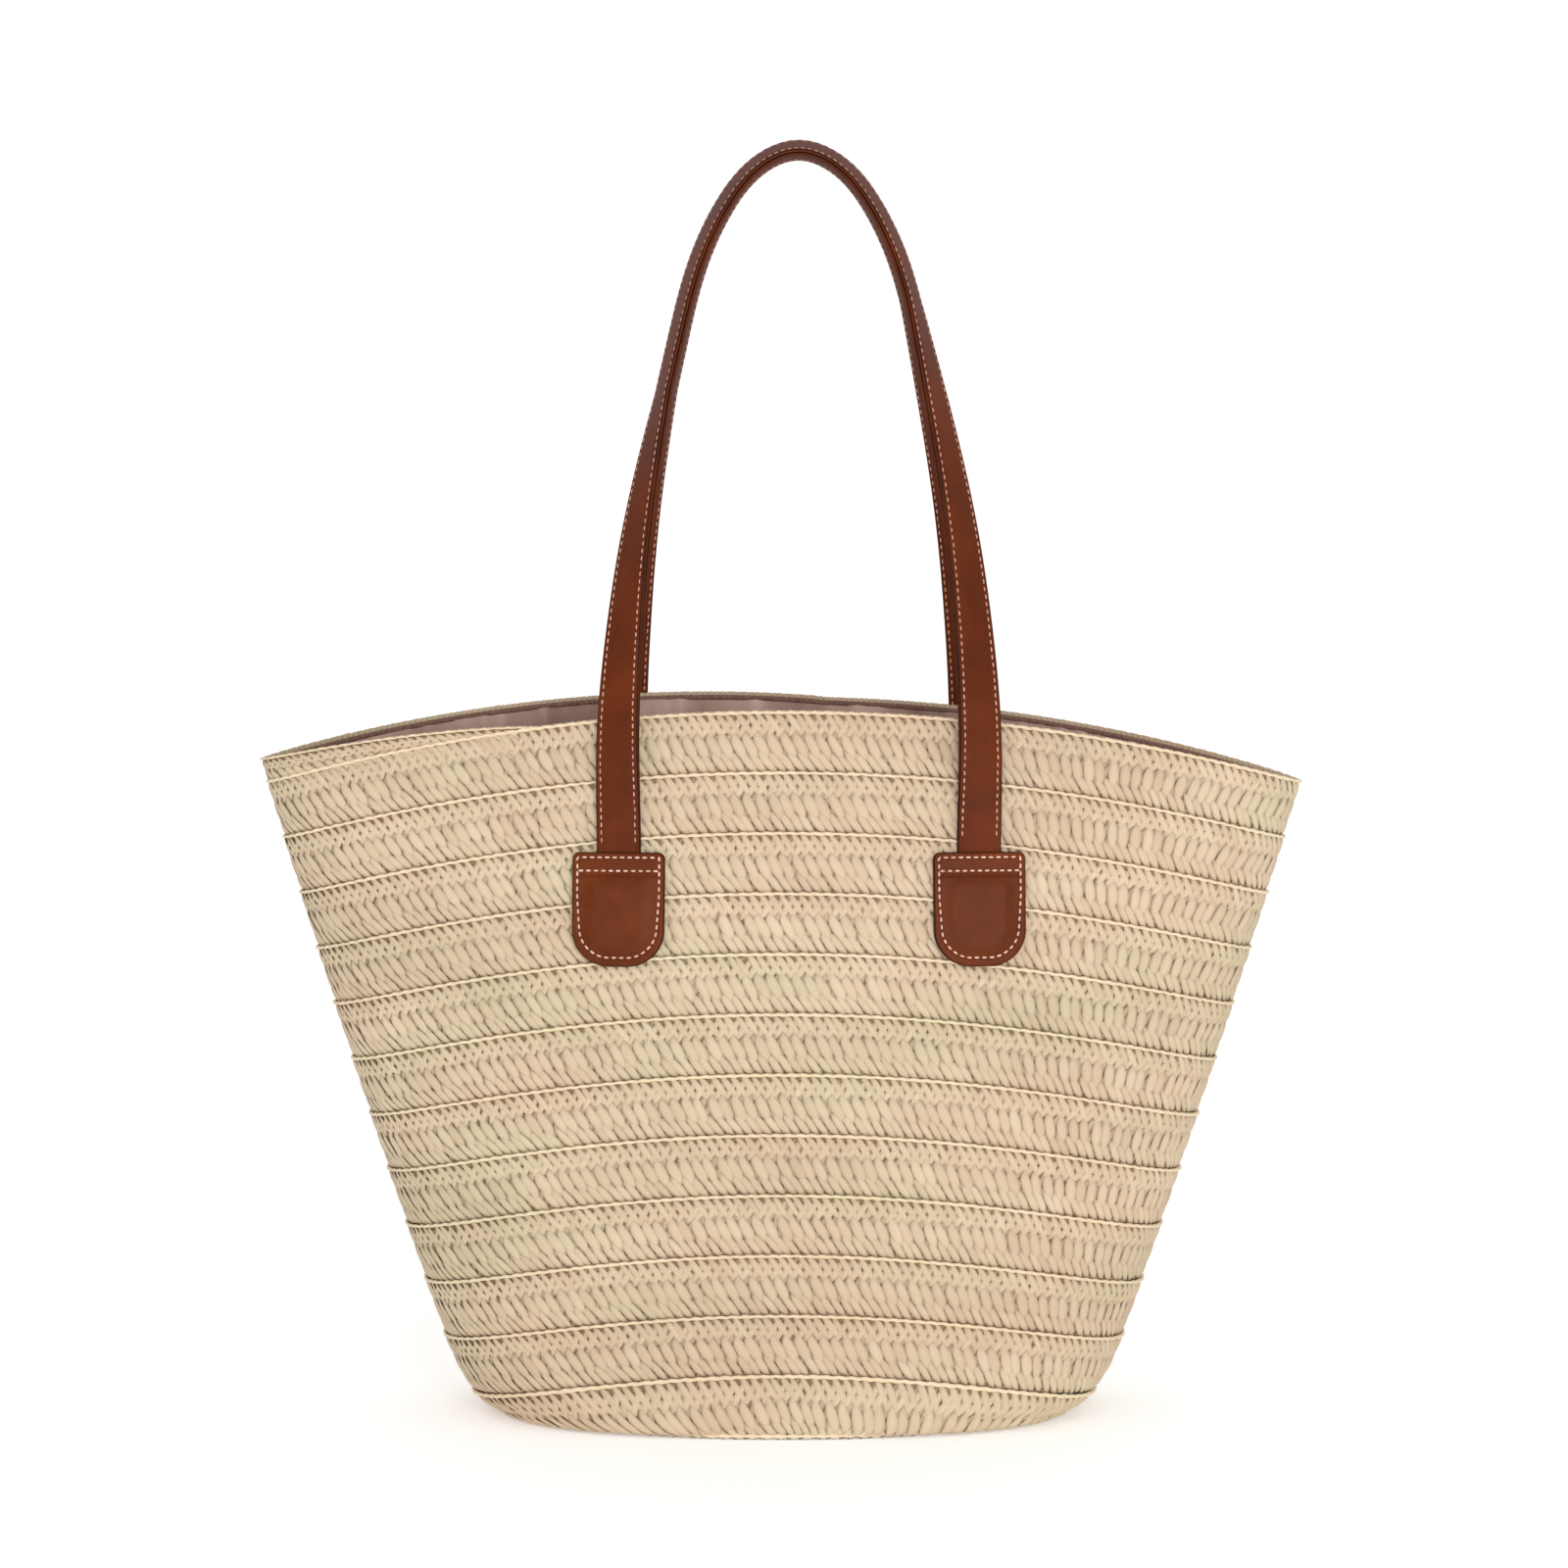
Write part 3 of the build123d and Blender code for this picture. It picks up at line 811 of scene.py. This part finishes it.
def rim_fold():
    """The straw folded over the rim, from the outside to the binding tape inside."""
    columns = 2600
    angles = ring_angles(columns)
    top = height_on_wall(angles, rim_height)
    steps = np.diff(wall_point(angles, top), axis=0, append=0.0)
    distances = np.cumsum(np.linalg.norm(steps, axis=1))
    ribs = np.sin(TURN * distances / (STRAND_PITCH * 0.5))
    profile = (
        (1.3, -3.0), (1.0, -1.2), (0.7, -0.2), (0.8, 0.35), (1.3, 0.6), (2.0, 0.4), (2.4, -0.4), (2.5, -5.0),
    )
    rings = []
    for inset, rise in profile:
        bump = 0.16 * ribs if rise > -1.0 else 0.0 * ribs
        rings.append(rim_ring(angles, top, inset - 0.6 * bump, rise + bump))
    grid = np.stack(rings)
    faces = sheet_faces(len(profile), columns, wrap_columns=True)
    obj = new_object("straw_rim_fold", grid, faces, [STRAW_RIM])
    # Tone follows the ribs: lighter on their crests and darker between them, painted light and shade
    tone = np.tile(0.8 * ribs, len(profile))
    set_straw_attributes(obj, tone, strand=grid.reshape(-1, 3), groove_shade=0.0 * tone)
    finish_piece(obj, "straw_braid")


def binding_tape():
    """A narrow woven tape sewn round the inside of the rim."""
    columns = 1800
    columns_per_rib = 3.0
    angles = ring_angles(columns)
    top = height_on_wall(angles, rim_height)
    profile = (
        (2.6, -3.4), (2.6, -1.3), (2.8, -0.9), (3.3, -0.8),
        (3.9, -1.0), (4.2, -1.4), (4.25, -2.4), (4.0, -3.0),
    )
    ribs = 0.07 * np.sin(TURN * np.arange(columns) / columns_per_rib)
    rings = [rim_ring(angles, top, inset, rise + ribs) for inset, rise in profile]
    faces = sheet_faces(len(profile), columns, wrap_rows=True, wrap_columns=True)
    obj = new_object("woven_rim_tape", np.stack(rings), faces, [TAPE])
    finish_piece(obj, "brown_tape", "rim_tape")


def folds(angles, share, seed):
    """Soft wrinkles of loose satin: upright gathers at the hem that spread and slant lower down."""
    noise = np.random.default_rng(seed)
    total = np.zeros(np.broadcast(angles, share).shape)
    waves = ((9, 1.4, 0.9), (17, 1.5, -1.4), (29, 1.2, 2.3), (46, 0.8, -2.8), (71, 0.5, 3.7))
    for turns, size, slant in waves:
        phase = noise.uniform(0, TURN)
        drift = noise.uniform(0, TURN)
        bend = 0.9 * np.sin(2.0 * angles + 5.0 * share + drift)
        wave = np.sin(turns * angles + slant * 5.0 * share + bend + phase)
        total += size * np.clip(wave, -0.2, 1.0) ** 2
    puckers = 0.5 * np.sin(130 * angles + noise.uniform(0, 6)) * np.exp(-((1.0 - share) / 0.06) ** 2)
    return np.clip(total + puckers, 0.0, 6.0)


def lining_wall(angles):
    """Satin hung from the binding tape. Its lowest ring of points comes back."""
    rows = 70
    top = height_on_wall(angles, rim_height) - LINING_BELOW_RIM
    bottom = LINING_LIFT + LINING_THICKNESS
    share = np.linspace(0.0, 1.0, rows)[:, None]
    z = bottom + (top[None] - bottom) * share
    held_below = np.clip(share / 0.04, 0.0, 1.0)
    held_above = np.clip((1.0 - share) / 0.02, 0.2, 1.0)
    depth = folds(angles[None], share, 5) * held_below * held_above
    grid = wall_point(angles[None] + 0.0 * z, np.maximum(z - LINING_LIFT, 0.0), LINING_INSET + depth)
    grid[..., 2] = z
    faces = sheet_faces(rows, LINING_COLUMNS, wrap_columns=True)
    wall = new_object("satin_lining_wall", grid, faces, [SATIN])
    finish_piece(wall, "satin_lining", "lining_wall")
    return grid[0]


def lining_floor(angles, edge):
    """Satin laid on the base, sewn to the wall's lower edge and slightly rumpled."""
    rings = 40
    spread = np.linspace(0.02, 1.0, rings)[:, None]
    ripple = 0.8 * np.sin(3.0 * angles[None] + 7.0 * spread)
    ripple += 0.6 * np.sin(11.0 * angles[None] - 9.0 * spread)
    rise = np.maximum((0.9 + 0.5 * ripple) * (1.0 - spread**6), 0.0)
    height = LINING_LIFT + LINING_THICKNESS + rise
    points = np.stack([edge[None, :, 0] * spread, edge[None, :, 1] * spread, height], -1)
    faces = sheet_faces(rings, LINING_COLUMNS, wrap_columns=True)
    floor = new_object("satin_lining_floor", points, faces, [SATIN])
    finish_piece(floor, "satin_lining", "lining_floor")


rim_fold()
binding_tape()
lining_angles = ring_angles(LINING_COLUMNS)
lining_edge = lining_wall(lining_angles)
lining_floor(lining_angles, lining_edge)

# ---- straps


def smooth_route(points, start_slope, end_slope):
    """Evenly spaced points of the smooth curve through points, leaving and arriving in two directions."""
    points = np.asarray(points, float)
    knots = distances_along(points)
    gaps = np.linalg.norm(np.diff(points, axis=0), axis=1)
    size = len(points)
    matrix = np.eye(size)
    right = np.zeros((size, 3))
    right[0] = start_slope
    right[-1] = end_slope
    steps = np.diff(points, axis=0) / gaps[:, None]
    for i in range(1, size - 1):
        matrix[i, i - 1:i + 2] = gaps[i], 2.0 * (gaps[i - 1] + gaps[i]), gaps[i - 1]
        right[i] = 3.0 * (gaps[i] * steps[i - 1] + gaps[i - 1] * steps[i])
    slopes = np.linalg.solve(matrix, right)
    t = np.linspace(0.0, knots[-1], 6000)
    i = np.clip(np.searchsorted(knots, t, side="right") - 1, 0, size - 2)
    gap = gaps[i][:, None]
    u = (t - knots[i])[:, None] / gap
    return (
        (1 + 2 * u) * (1 - u) ** 2 * points[i] + u * (1 - u) ** 2 * gap * slopes[i]
        + u**2 * (3 - 2 * u) * points[i + 1] + u**2 * (u - 1) * gap * slopes[i + 1]
    )


def tab_frame(face, side):
    """Middle of a tab on the straw and its directions: across, up and outwards."""
    x = TAB_SHIFT + side * TAB_SPACING / 2.0
    z = TAB_CENTRE_HEIGHT
    reach = 0.5
    slope_x = (face_depth(x + reach, z) - face_depth(x - reach, z)) / (2 * reach)
    slope_z = (face_depth(x, z + reach) - face_depth(x, z - reach)) / (2 * reach)
    across = np.array([-face, -slope_x, 0.0])
    outwards = np.array([-slope_x, face, -slope_z])
    across /= np.linalg.norm(across)
    outwards /= np.linalg.norm(outwards)
    across -= outwards * across.dot(outwards)
    across /= np.linalg.norm(across)
    up = np.cross(outwards, across)
    middle = np.array([x, face * face_depth(x, z), z])
    return middle, across, up, outwards


def hinge_place():
    """Depth and height of the line that a handle folds about: just above the tabs' top edges."""
    corners = []
    for side in (-1, 1):
        middle, _, up, outwards = tab_frame(1, side)
        corners.append(middle + up * (TAB_HEIGHT / 2.0) + outwards * TAB_FACE)
    depth = max(corner[1] for corner in corners) + HINGE_STANDOFF
    height = max(corner[2] for corner in corners) + HINGE_CLEARANCE
    return depth, height


def tab_entry_depth(side):
    """Depth of the strap's middle where it goes under a tab."""
    middle, _, up, outwards = tab_frame(1, side)
    return (middle + up * (TAB_HEIGHT / 2.0) + outwards * STRAP_ENTRY)[1]


def strap_depth(z, foot_depth, foot_height):
    """Depth of a strap's middle at a height: it leans in from its tabs to its top."""
    foot = foot_depth - HINGE_STANDOFF - PLY_THICKNESS - PLY_GAP / 2.0
    share = (z - foot_height) / (APEX_HEIGHT - foot_height)
    return foot + (APEX_OFFSET - foot) * np.clip(share, 0.0, 1.0) ** LEAN_POWER


class StrapRoute:
    """A strap's line from tab to tab, with its directions: along, across and out of its face."""

    def __init__(self, face):
        foot_depth, foot_height = hinge_place()
        start = foot_height + HINGE_CLEARANCE
        legs = []
        for side in (-1, 1):
            leg = [(TAB_SHIFT + side * TAB_SPACING / 2.0, face * tab_entry_depth(side), start)]
            for z, half_width in ARCH_HALF_WIDTHS:
                depth = strap_depth(z, foot_depth, foot_height)
                leg.append((TAB_SHIFT + side * half_width, face * depth, z))
            legs.append(leg)
        stops = legs[0] + [(TAB_SHIFT, face * APEX_OFFSET, APEX_HEIGHT)] + legs[1][::-1]
        curve = smooth_route(stops, (0, 0, 1), (0, 0, -1))
        into_tab = np.array([0.0, 0.0, STRAP_IN_TAB])
        self.curve = np.concatenate([[curve[0] - into_tab], curve, [curve[-1] - into_tab]])
        self.distance = distances_along(self.curve)
        self.length = self.distance[-1]
        self.face = face
        self.foot_height = foot_height

    def frames(self, places):
        """Points on the line at distances along it, with the directions there."""
        middle = points_at(places, self.distance, self.curve)
        ahead = points_at(places + 1.0, self.distance, self.curve)
        along = ahead - points_at(places - 1.0, self.distance, self.curve)
        along /= np.linalg.norm(along, axis=-1, keepdims=True)
        rate = np.where(middle[:, 0] < TAB_SHIFT, TWIST_RATES[-1], TWIST_RATES[1])
        turned = np.clip(rate * (middle[:, 2] - self.foot_height - TWIST_START) / TWIST_HEIGHT, 0.0, 1.0)
        twist = np.radians(TWIST_AT_TAB + (TWIST_AT_TOP - TWIST_AT_TAB) * turned)[:, None]
        outwards = np.cross(along, [0.0, 1.0, 0.0])
        outwards /= np.linalg.norm(outwards, axis=-1, keepdims=True)
        out = np.array([0.0, self.face, 0.0]) * np.cos(twist) + outwards * np.sin(twist)
        across = np.cross(out, along)
        across /= np.linalg.norm(across, axis=-1, keepdims=True)
        out = np.cross(along, across)
        return middle, along, across, out


def ply_profile():
    """Outline of one ply, across and through, with True where it is dark: edge paint at the face's corner,
    and painted shade of the gap between the plies at the back corner.
    """
    half = STRAP_WIDTH / 2.0
    across = np.array([8.9, 8.5, 8.1, 7.85, 7.6, 7.4, 7.2, 6.9, 6.4, 4.6, 2.2, 0.0])
    across = np.concatenate([across, -across[-2::-1]])
    distance = np.abs(across)
    channel = 0.24 * np.exp(-(((distance - STITCH_LINE) / 0.5) ** 2))
    crown = 0.1 * (1.0 - (distance / half) ** 2) - 0.12 * (distance / half) ** 8
    face = [(a, PLY_THICKNESS - c + r, False) for a, c, r in zip(across, channel, crown)]
    # The face's corner is edge paint; the back corner, by the gap between the plies, is painted shade of
    # that gap
    edge = [
        (half - 0.22, PLY_THICKNESS - 0.3, True), (half, PLY_THICKNESS - 0.55, False),
        (half, 0.4, False), (half - 0.16, 0.12, True),
    ]
    back = [(half - 0.6, 0.0, True), (0.0, 0.0, True), (0.6 - half, 0.0, True)]
    left_edge = [(-a, t, painted) for a, t, painted in edge]
    points = np.array(face[::-1] + edge + back + left_edge[::-1])
    return points[:, :2], points[:, 2] > 0.0


def end_cap(section):
    """A section drawn together towards its middle, which closes a strap's end."""
    middle = section.mean(1, keepdims=True)
    return middle + 0.02 * (section - middle)


def strap_ply(name, route, layer):
    """One of a strap's two plies: layer is 1 for the outer and -1 for the inner."""
    noise = np.random.default_rng(40 + layer + 3 * route.face)
    sections = 300
    places = np.linspace(0.0, route.length, sections)
    middle, _, across, out = route.frames(places)
    profile, painted = ply_profile()
    waves = 0.0 * places
    for period in (37.0, 61.0, 103.0):
        waves += 0.07 * np.sin(TURN * places / period + noise.uniform(0, 6))
    in_tab = np.minimum(places, route.length - places) < STRAP_IN_TAB
    thin = np.where(in_tab, 0.85, 1.0)
    ring = (
        middle[:, None] + across[:, None] * (profile[None, :, :1] * (1.0 + 0.01 * waves[:, None, None]))
        + out[:, None] * layer * (PLY_GAP / 2.0 + profile[None, :, 1:] * thin[:, None, None])
    )
    rings = np.concatenate([end_cap(ring[:1]), ring, end_cap(ring[-1:])])
    count = len(profile)
    faces = sheet_faces(len(rings), count, wrap_columns=True)
    if layer < 0:
        faces = faces[:, ::-1]
    obj = new_object(name, rings, faces, [STRAP_LEATHER, EDGE_PAINT_AND_GAP_SHADE])
    column = np.arange(len(faces)) % count
    edge = painted[column] | painted[(column + 1) % count]
    obj.data.polygons.foreach_set("material_index", edge.astype(np.int32))
    return obj


def stitches(name, origin, along, out, thread, length, width, height=0.5):
    """Thread: one short bowed capsule for every stitch, sunk at both ends."""
    across = np.cross(out, along)
    sections = 9
    ring = 8
    u = np.linspace(-1.0, 1.0, sections)
    angle = ring_angles(ring)
    girth = np.sqrt(np.clip(1.0 - np.abs(u) ** 3.5, 0.0, 1.0)) + 0.02
    shape_along = u[:, None] * length / 2.0 + 0.0 * angle
    shape_across = girth[:, None] * width / 2.0 * np.cos(angle)
    shape_out = girth[:, None] * height / 2.0 * np.sin(angle) - 0.25 * u[:, None] ** 2 + 0.1
    points = (
        origin[:, None, None]
        + along[:, None, None] * shape_along[None, ..., None]
        + across[:, None, None] * shape_across[None, ..., None]
        + out[:, None, None] * shape_out[None, ..., None]
    )
    faces = repeat_faces(sheet_faces(sections, ring, wrap_columns=True), len(origin), sections * ring)
    return new_object(name, points, faces[:, ::-1], [thread])


def strap_stitching(name, route):
    """Two rows of stitches along each face of a strap."""
    noise = np.random.default_rng(70 + route.face)
    first = STRAP_IN_TAB + 3.0
    count = int((route.length - 2 * first) / STITCH_PITCH)
    places = first + STITCH_PITCH * (np.arange(count) + 0.5)
    middle, along, across, out = route.frames(places)
    rise = PLY_GAP / 2.0 + PLY_THICKNESS - 0.12
    origins = []
    directions = []
    outs = []
    for layer in (1, -1):
        for row in (-1, 1):
            jitter = noise.normal(0.0, 0.07, (count, 1))
            slant = noise.normal(0.03, 0.03, (count, 1))
            origins.append(middle + across * (row * STITCH_LINE + jitter) + out * layer * rise)
            directions.append(along + across * slant)
            outs.append(out * layer)
    origin, direction, facing = (np.concatenate(group) for group in (origins, directions, outs))
    return stitches(name, origin, direction, facing, STRAP_THREAD, length=2.2, width=0.66)


def make_handle(face, face_name):
    """A strap's two plies and their stitches, which bend where they leave the tabs."""
    route = StrapRoute(face)
    ends = [f"strap_end_{face_name}_left", f"strap_end_{face_name}_right"]
    middle, _, _, _ = route.frames(np.array([0.0]))
    outer = strap_ply(f"leather_strap_{face_name}_outer", route, 1)
    inner = strap_ply(f"leather_strap_{face_name}_inner", route, -1)
    thread = strap_stitching(f"strap_stitching_{face_name}", route)
    for piece in (outer, inner, thread):
        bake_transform(piece)
    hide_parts(f"strap_{face_name}_outer", *ends)
    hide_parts(f"strap_{face_name}_inner")


# ---- tabs


def tab_outline(inset, count=240):
    """Points round a tab, moved in from its edge, starting at the middle of the top."""
    half_width = TAB_WIDTH / 2.0 - inset
    half_height = TAB_HEIGHT / 2.0 - inset
    top = max(TAB_TOP_CORNER - inset, 0.8)
    bottom = max(TAB_BOTTOM_CORNER - inset, 0.8)
    corners = [
        (half_width - top, half_height - top, top, 90.0),
        (half_width - bottom, -half_height + bottom, bottom, 0.0),
        (-half_width + bottom, -half_height + bottom, bottom, -90.0),
        (-half_width + top, half_height - top, top, -180.0),
    ]
    points = [(0.0, half_height)]
    for x, y, radius, start in corners:
        for turn in np.linspace(0.0, 90.0, 25):
            angle = math.radians(start - turn)
            points.append((x + radius * math.cos(angle), y + radius * math.sin(angle)))
    points.append((0.0, half_height))
    points = np.array(points)
    distances = distances_along(points)
    even = np.linspace(0.0, distances[-1], count, endpoint=False)
    return points_at(even, distances, points)


def seam_line(count=400):
    """The tab's stitch line: close to the edge at the top, further in round the bottom."""
    outer = tab_outline(2.2, count)
    inner = tab_outline(3.9, count)
    lower = np.clip((6.0 - outer[:, 1:]) / 26.0, 0.0, 1.0)
    return outer * (1.0 - lower) + inner * lower


def near_line(points, line):
    """Distance from every point to the closest point of a line."""
    gaps = points[:, None] - line[None]
    return np.sqrt((gaps**2).sum(-1)).min(1)


def tab_height(points, inset):
    """How far the leather stands off the straw: a rounded edge, stitched-down channels, a padded middle."""
    edge = TAB_FACE - 0.75 * np.exp(-inset / 0.4)
    channel = 0.34 * np.exp(-((near_line(points, seam_line()) / 0.75) ** 2))
    row = TAB_HEIGHT / 2.0 - TAB_ROW_DROP
    inside = np.abs(points[:, 0]) < TAB_WIDTH / 2.0 - 2.6
    channel += np.where(inside, 0.3 * np.exp(-(((points[:, 1] - row) / 0.75) ** 2)), 0.0)
    channel += np.where(inside, 0.75 * np.exp(-(((points[:, 1] - row + 1.9) / 0.55) ** 2)), 0.0)
    below = np.clip((row - points[:, 1] - 2.2) / 5.0, 0.0, 1.0)
    swell = below * np.clip((inset - 4.0) / 6.0, 0.0, 1.0)
    puff = 0.9 * swell * swell * (3.0 - 2.0 * swell)
    dimples = 0.12 * np.sin(points[:, 0] * 0.35 + 1.0) * np.cos(points[:, 1] * 0.28)
    return edge - channel + puff + dimples * swell


def tab_rings():
    """Rings of places and heights that make a tab: its back, its edge, its face and its middle."""
    edge = tab_outline(0.0)
    back = np.full(len(edge), TAB_STANDOFF)
    rings = [(edge * 0.02, back), (edge, back)]
    for inset in TAB_INSETS:
        outline = tab_outline(inset)
        rings.append((outline, tab_height(outline, inset)))
    for share in (0.7, 0.4, 0.15, 0.01):
        inner = outline * share
        rings.append((inner, tab_height(inner, TAB_INSETS[-1] + (1.0 - share) * 4.0)))
    return rings


def tab_stitch_places():
    """Where a tab's stitches are, and the way each runs: round its edge, and in a row across."""
    line = seam_line()
    line = np.concatenate([line, line[:1]])
    distances = distances_along(line)
    count = int(round(distances[-1] / TAB_STITCH_PITCH))
    places = (np.arange(count) + 0.5) * distances[-1] / count
    spots = points_at(places, distances, line)
    ahead = points_at(places + 0.5, distances, line) - spots
    ahead /= np.linalg.norm(ahead, axis=1, keepdims=True)
    row_x = (np.arange(TAB_ROW_STITCHES) - (TAB_ROW_STITCHES - 1) / 2.0) * TAB_STITCH_PITCH
    row_spots = np.stack([row_x, np.full(TAB_ROW_STITCHES, TAB_HEIGHT / 2.0 - TAB_ROW_DROP)], -1)
    row_ahead = np.tile([1.0, 0.0], (TAB_ROW_STITCHES, 1))
    return np.concatenate([spots, row_spots]), np.concatenate([ahead, row_ahead])


def make_tab(face, side, face_name, side_name):
    """A tab's leather, and its stitches."""
    middle, across, up, outwards = tab_frame(face, side)

    def on_tab(places, height):
        return middle + places[:, :1] * across + places[:, 1:] * up + height[:, None] * outwards

    grid = np.stack([on_tab(outline, height) for outline, height in tab_rings()])
    rings, count = grid.shape[:2]
    faces = sheet_faces(rings, count, wrap_columns=True)
    tab = new_object(f"leather_tab_{face_name}_{side_name}", grid, faces, [TAB_LEATHER, EDGE_PAINT_AND_GAP_SHADE])
    painted = np.arange(len(faces)) // count < TAB_PAINTED_RINGS
    tab.data.polygons.foreach_set("material_index", painted.astype(np.int32))
    finish_piece(tab, "tab_leather", f"tab_{face_name}_{side_name}")

    spots, ahead = tab_stitch_places()
    origin = on_tab(spots, np.full(len(spots), TAB_FACE - 0.24))
    along = ahead[:, :1] * across + ahead[:, 1:] * up
    out = np.tile(outwards, (len(spots), 1))
    name = f"tab_stitching_{face_name}_{side_name}"
    thread = stitches(name, origin, along, out, TAB_THREAD, length=2.25, width=0.85)
    finish_piece(thread, "tab_leather")


for face, face_name in ((-1, "front"), (1, "back")):
    make_handle(face, face_name)
    for side, side_name in ((-1, "left"), (1, "right")):
        make_tab(face, side, face_name, side_name)
        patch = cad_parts[f"patch_{face_name}_{side_name}"]
        patch.data.materials.clear()
        patch.data.materials.append(FELT)


# ---- stage and light


def make_stage():
    """A pale floor that curves up into a wall behind the bag."""
    turns = np.linspace(0.0, math.pi / 2.0, 16)
    bend = []
    for turn in turns:
        bend.append((SWEEP_START + SWEEP_RADIUS * math.sin(turn), SWEEP_RADIUS * (1.0 - math.cos(turn))))
    line = [(-SWEEP_REACH, 0.0)] + bend + [(bend[-1][0], SWEEP_REACH)]
    points = [(side * SWEEP_REACH, y, z) for y, z in line for side in (-1, 1)]
    floor = new_object("floor", np.array(points) / MM, sheet_faces(len(line), 2), [])
    g = Graph("pale_floor")
    g.set(Base_Color=(0.96, 0.96, 0.96, 1.0), Roughness=0.9)
    g.set(Emission_Color=(1.0, 1.0, 1.0, 1.0), Emission_Strength=FLOOR_GLOW)
    floor.data.materials.append(g.material)


def make_light(name, place, target, size, power):
    """A round soft light, in metres and watts, that faces a target."""
    data = bpy.data.lights.new(name, "AREA")
    data.shape = "DISK"
    data.size = size
    data.energy = power
    facing(name, data, place, target)


def make_world():
    """Even white light from all round."""
    world = bpy.data.worlds.new("studio")
    world.use_nodes = True
    background = world.node_tree.nodes["Background"]
    background.inputs["Color"].default_value = (1.0, 1.0, 1.0, 1.0)
    background.inputs["Strength"].default_value = WORLD_STRENGTH
    bpy.context.scene.world = world


make_stage()
make_world()
make_light("key", place=(0.4, -2.3, 0.42), target=(0, 0, 0.15), size=1.2, power=28.0)
make_light("fill", place=(-1.4, -1.8, 0.8), target=(0, 0, 0.25), size=1.4, power=0.8)
bpy.context.scene.view_settings.view_transform = "Standard"
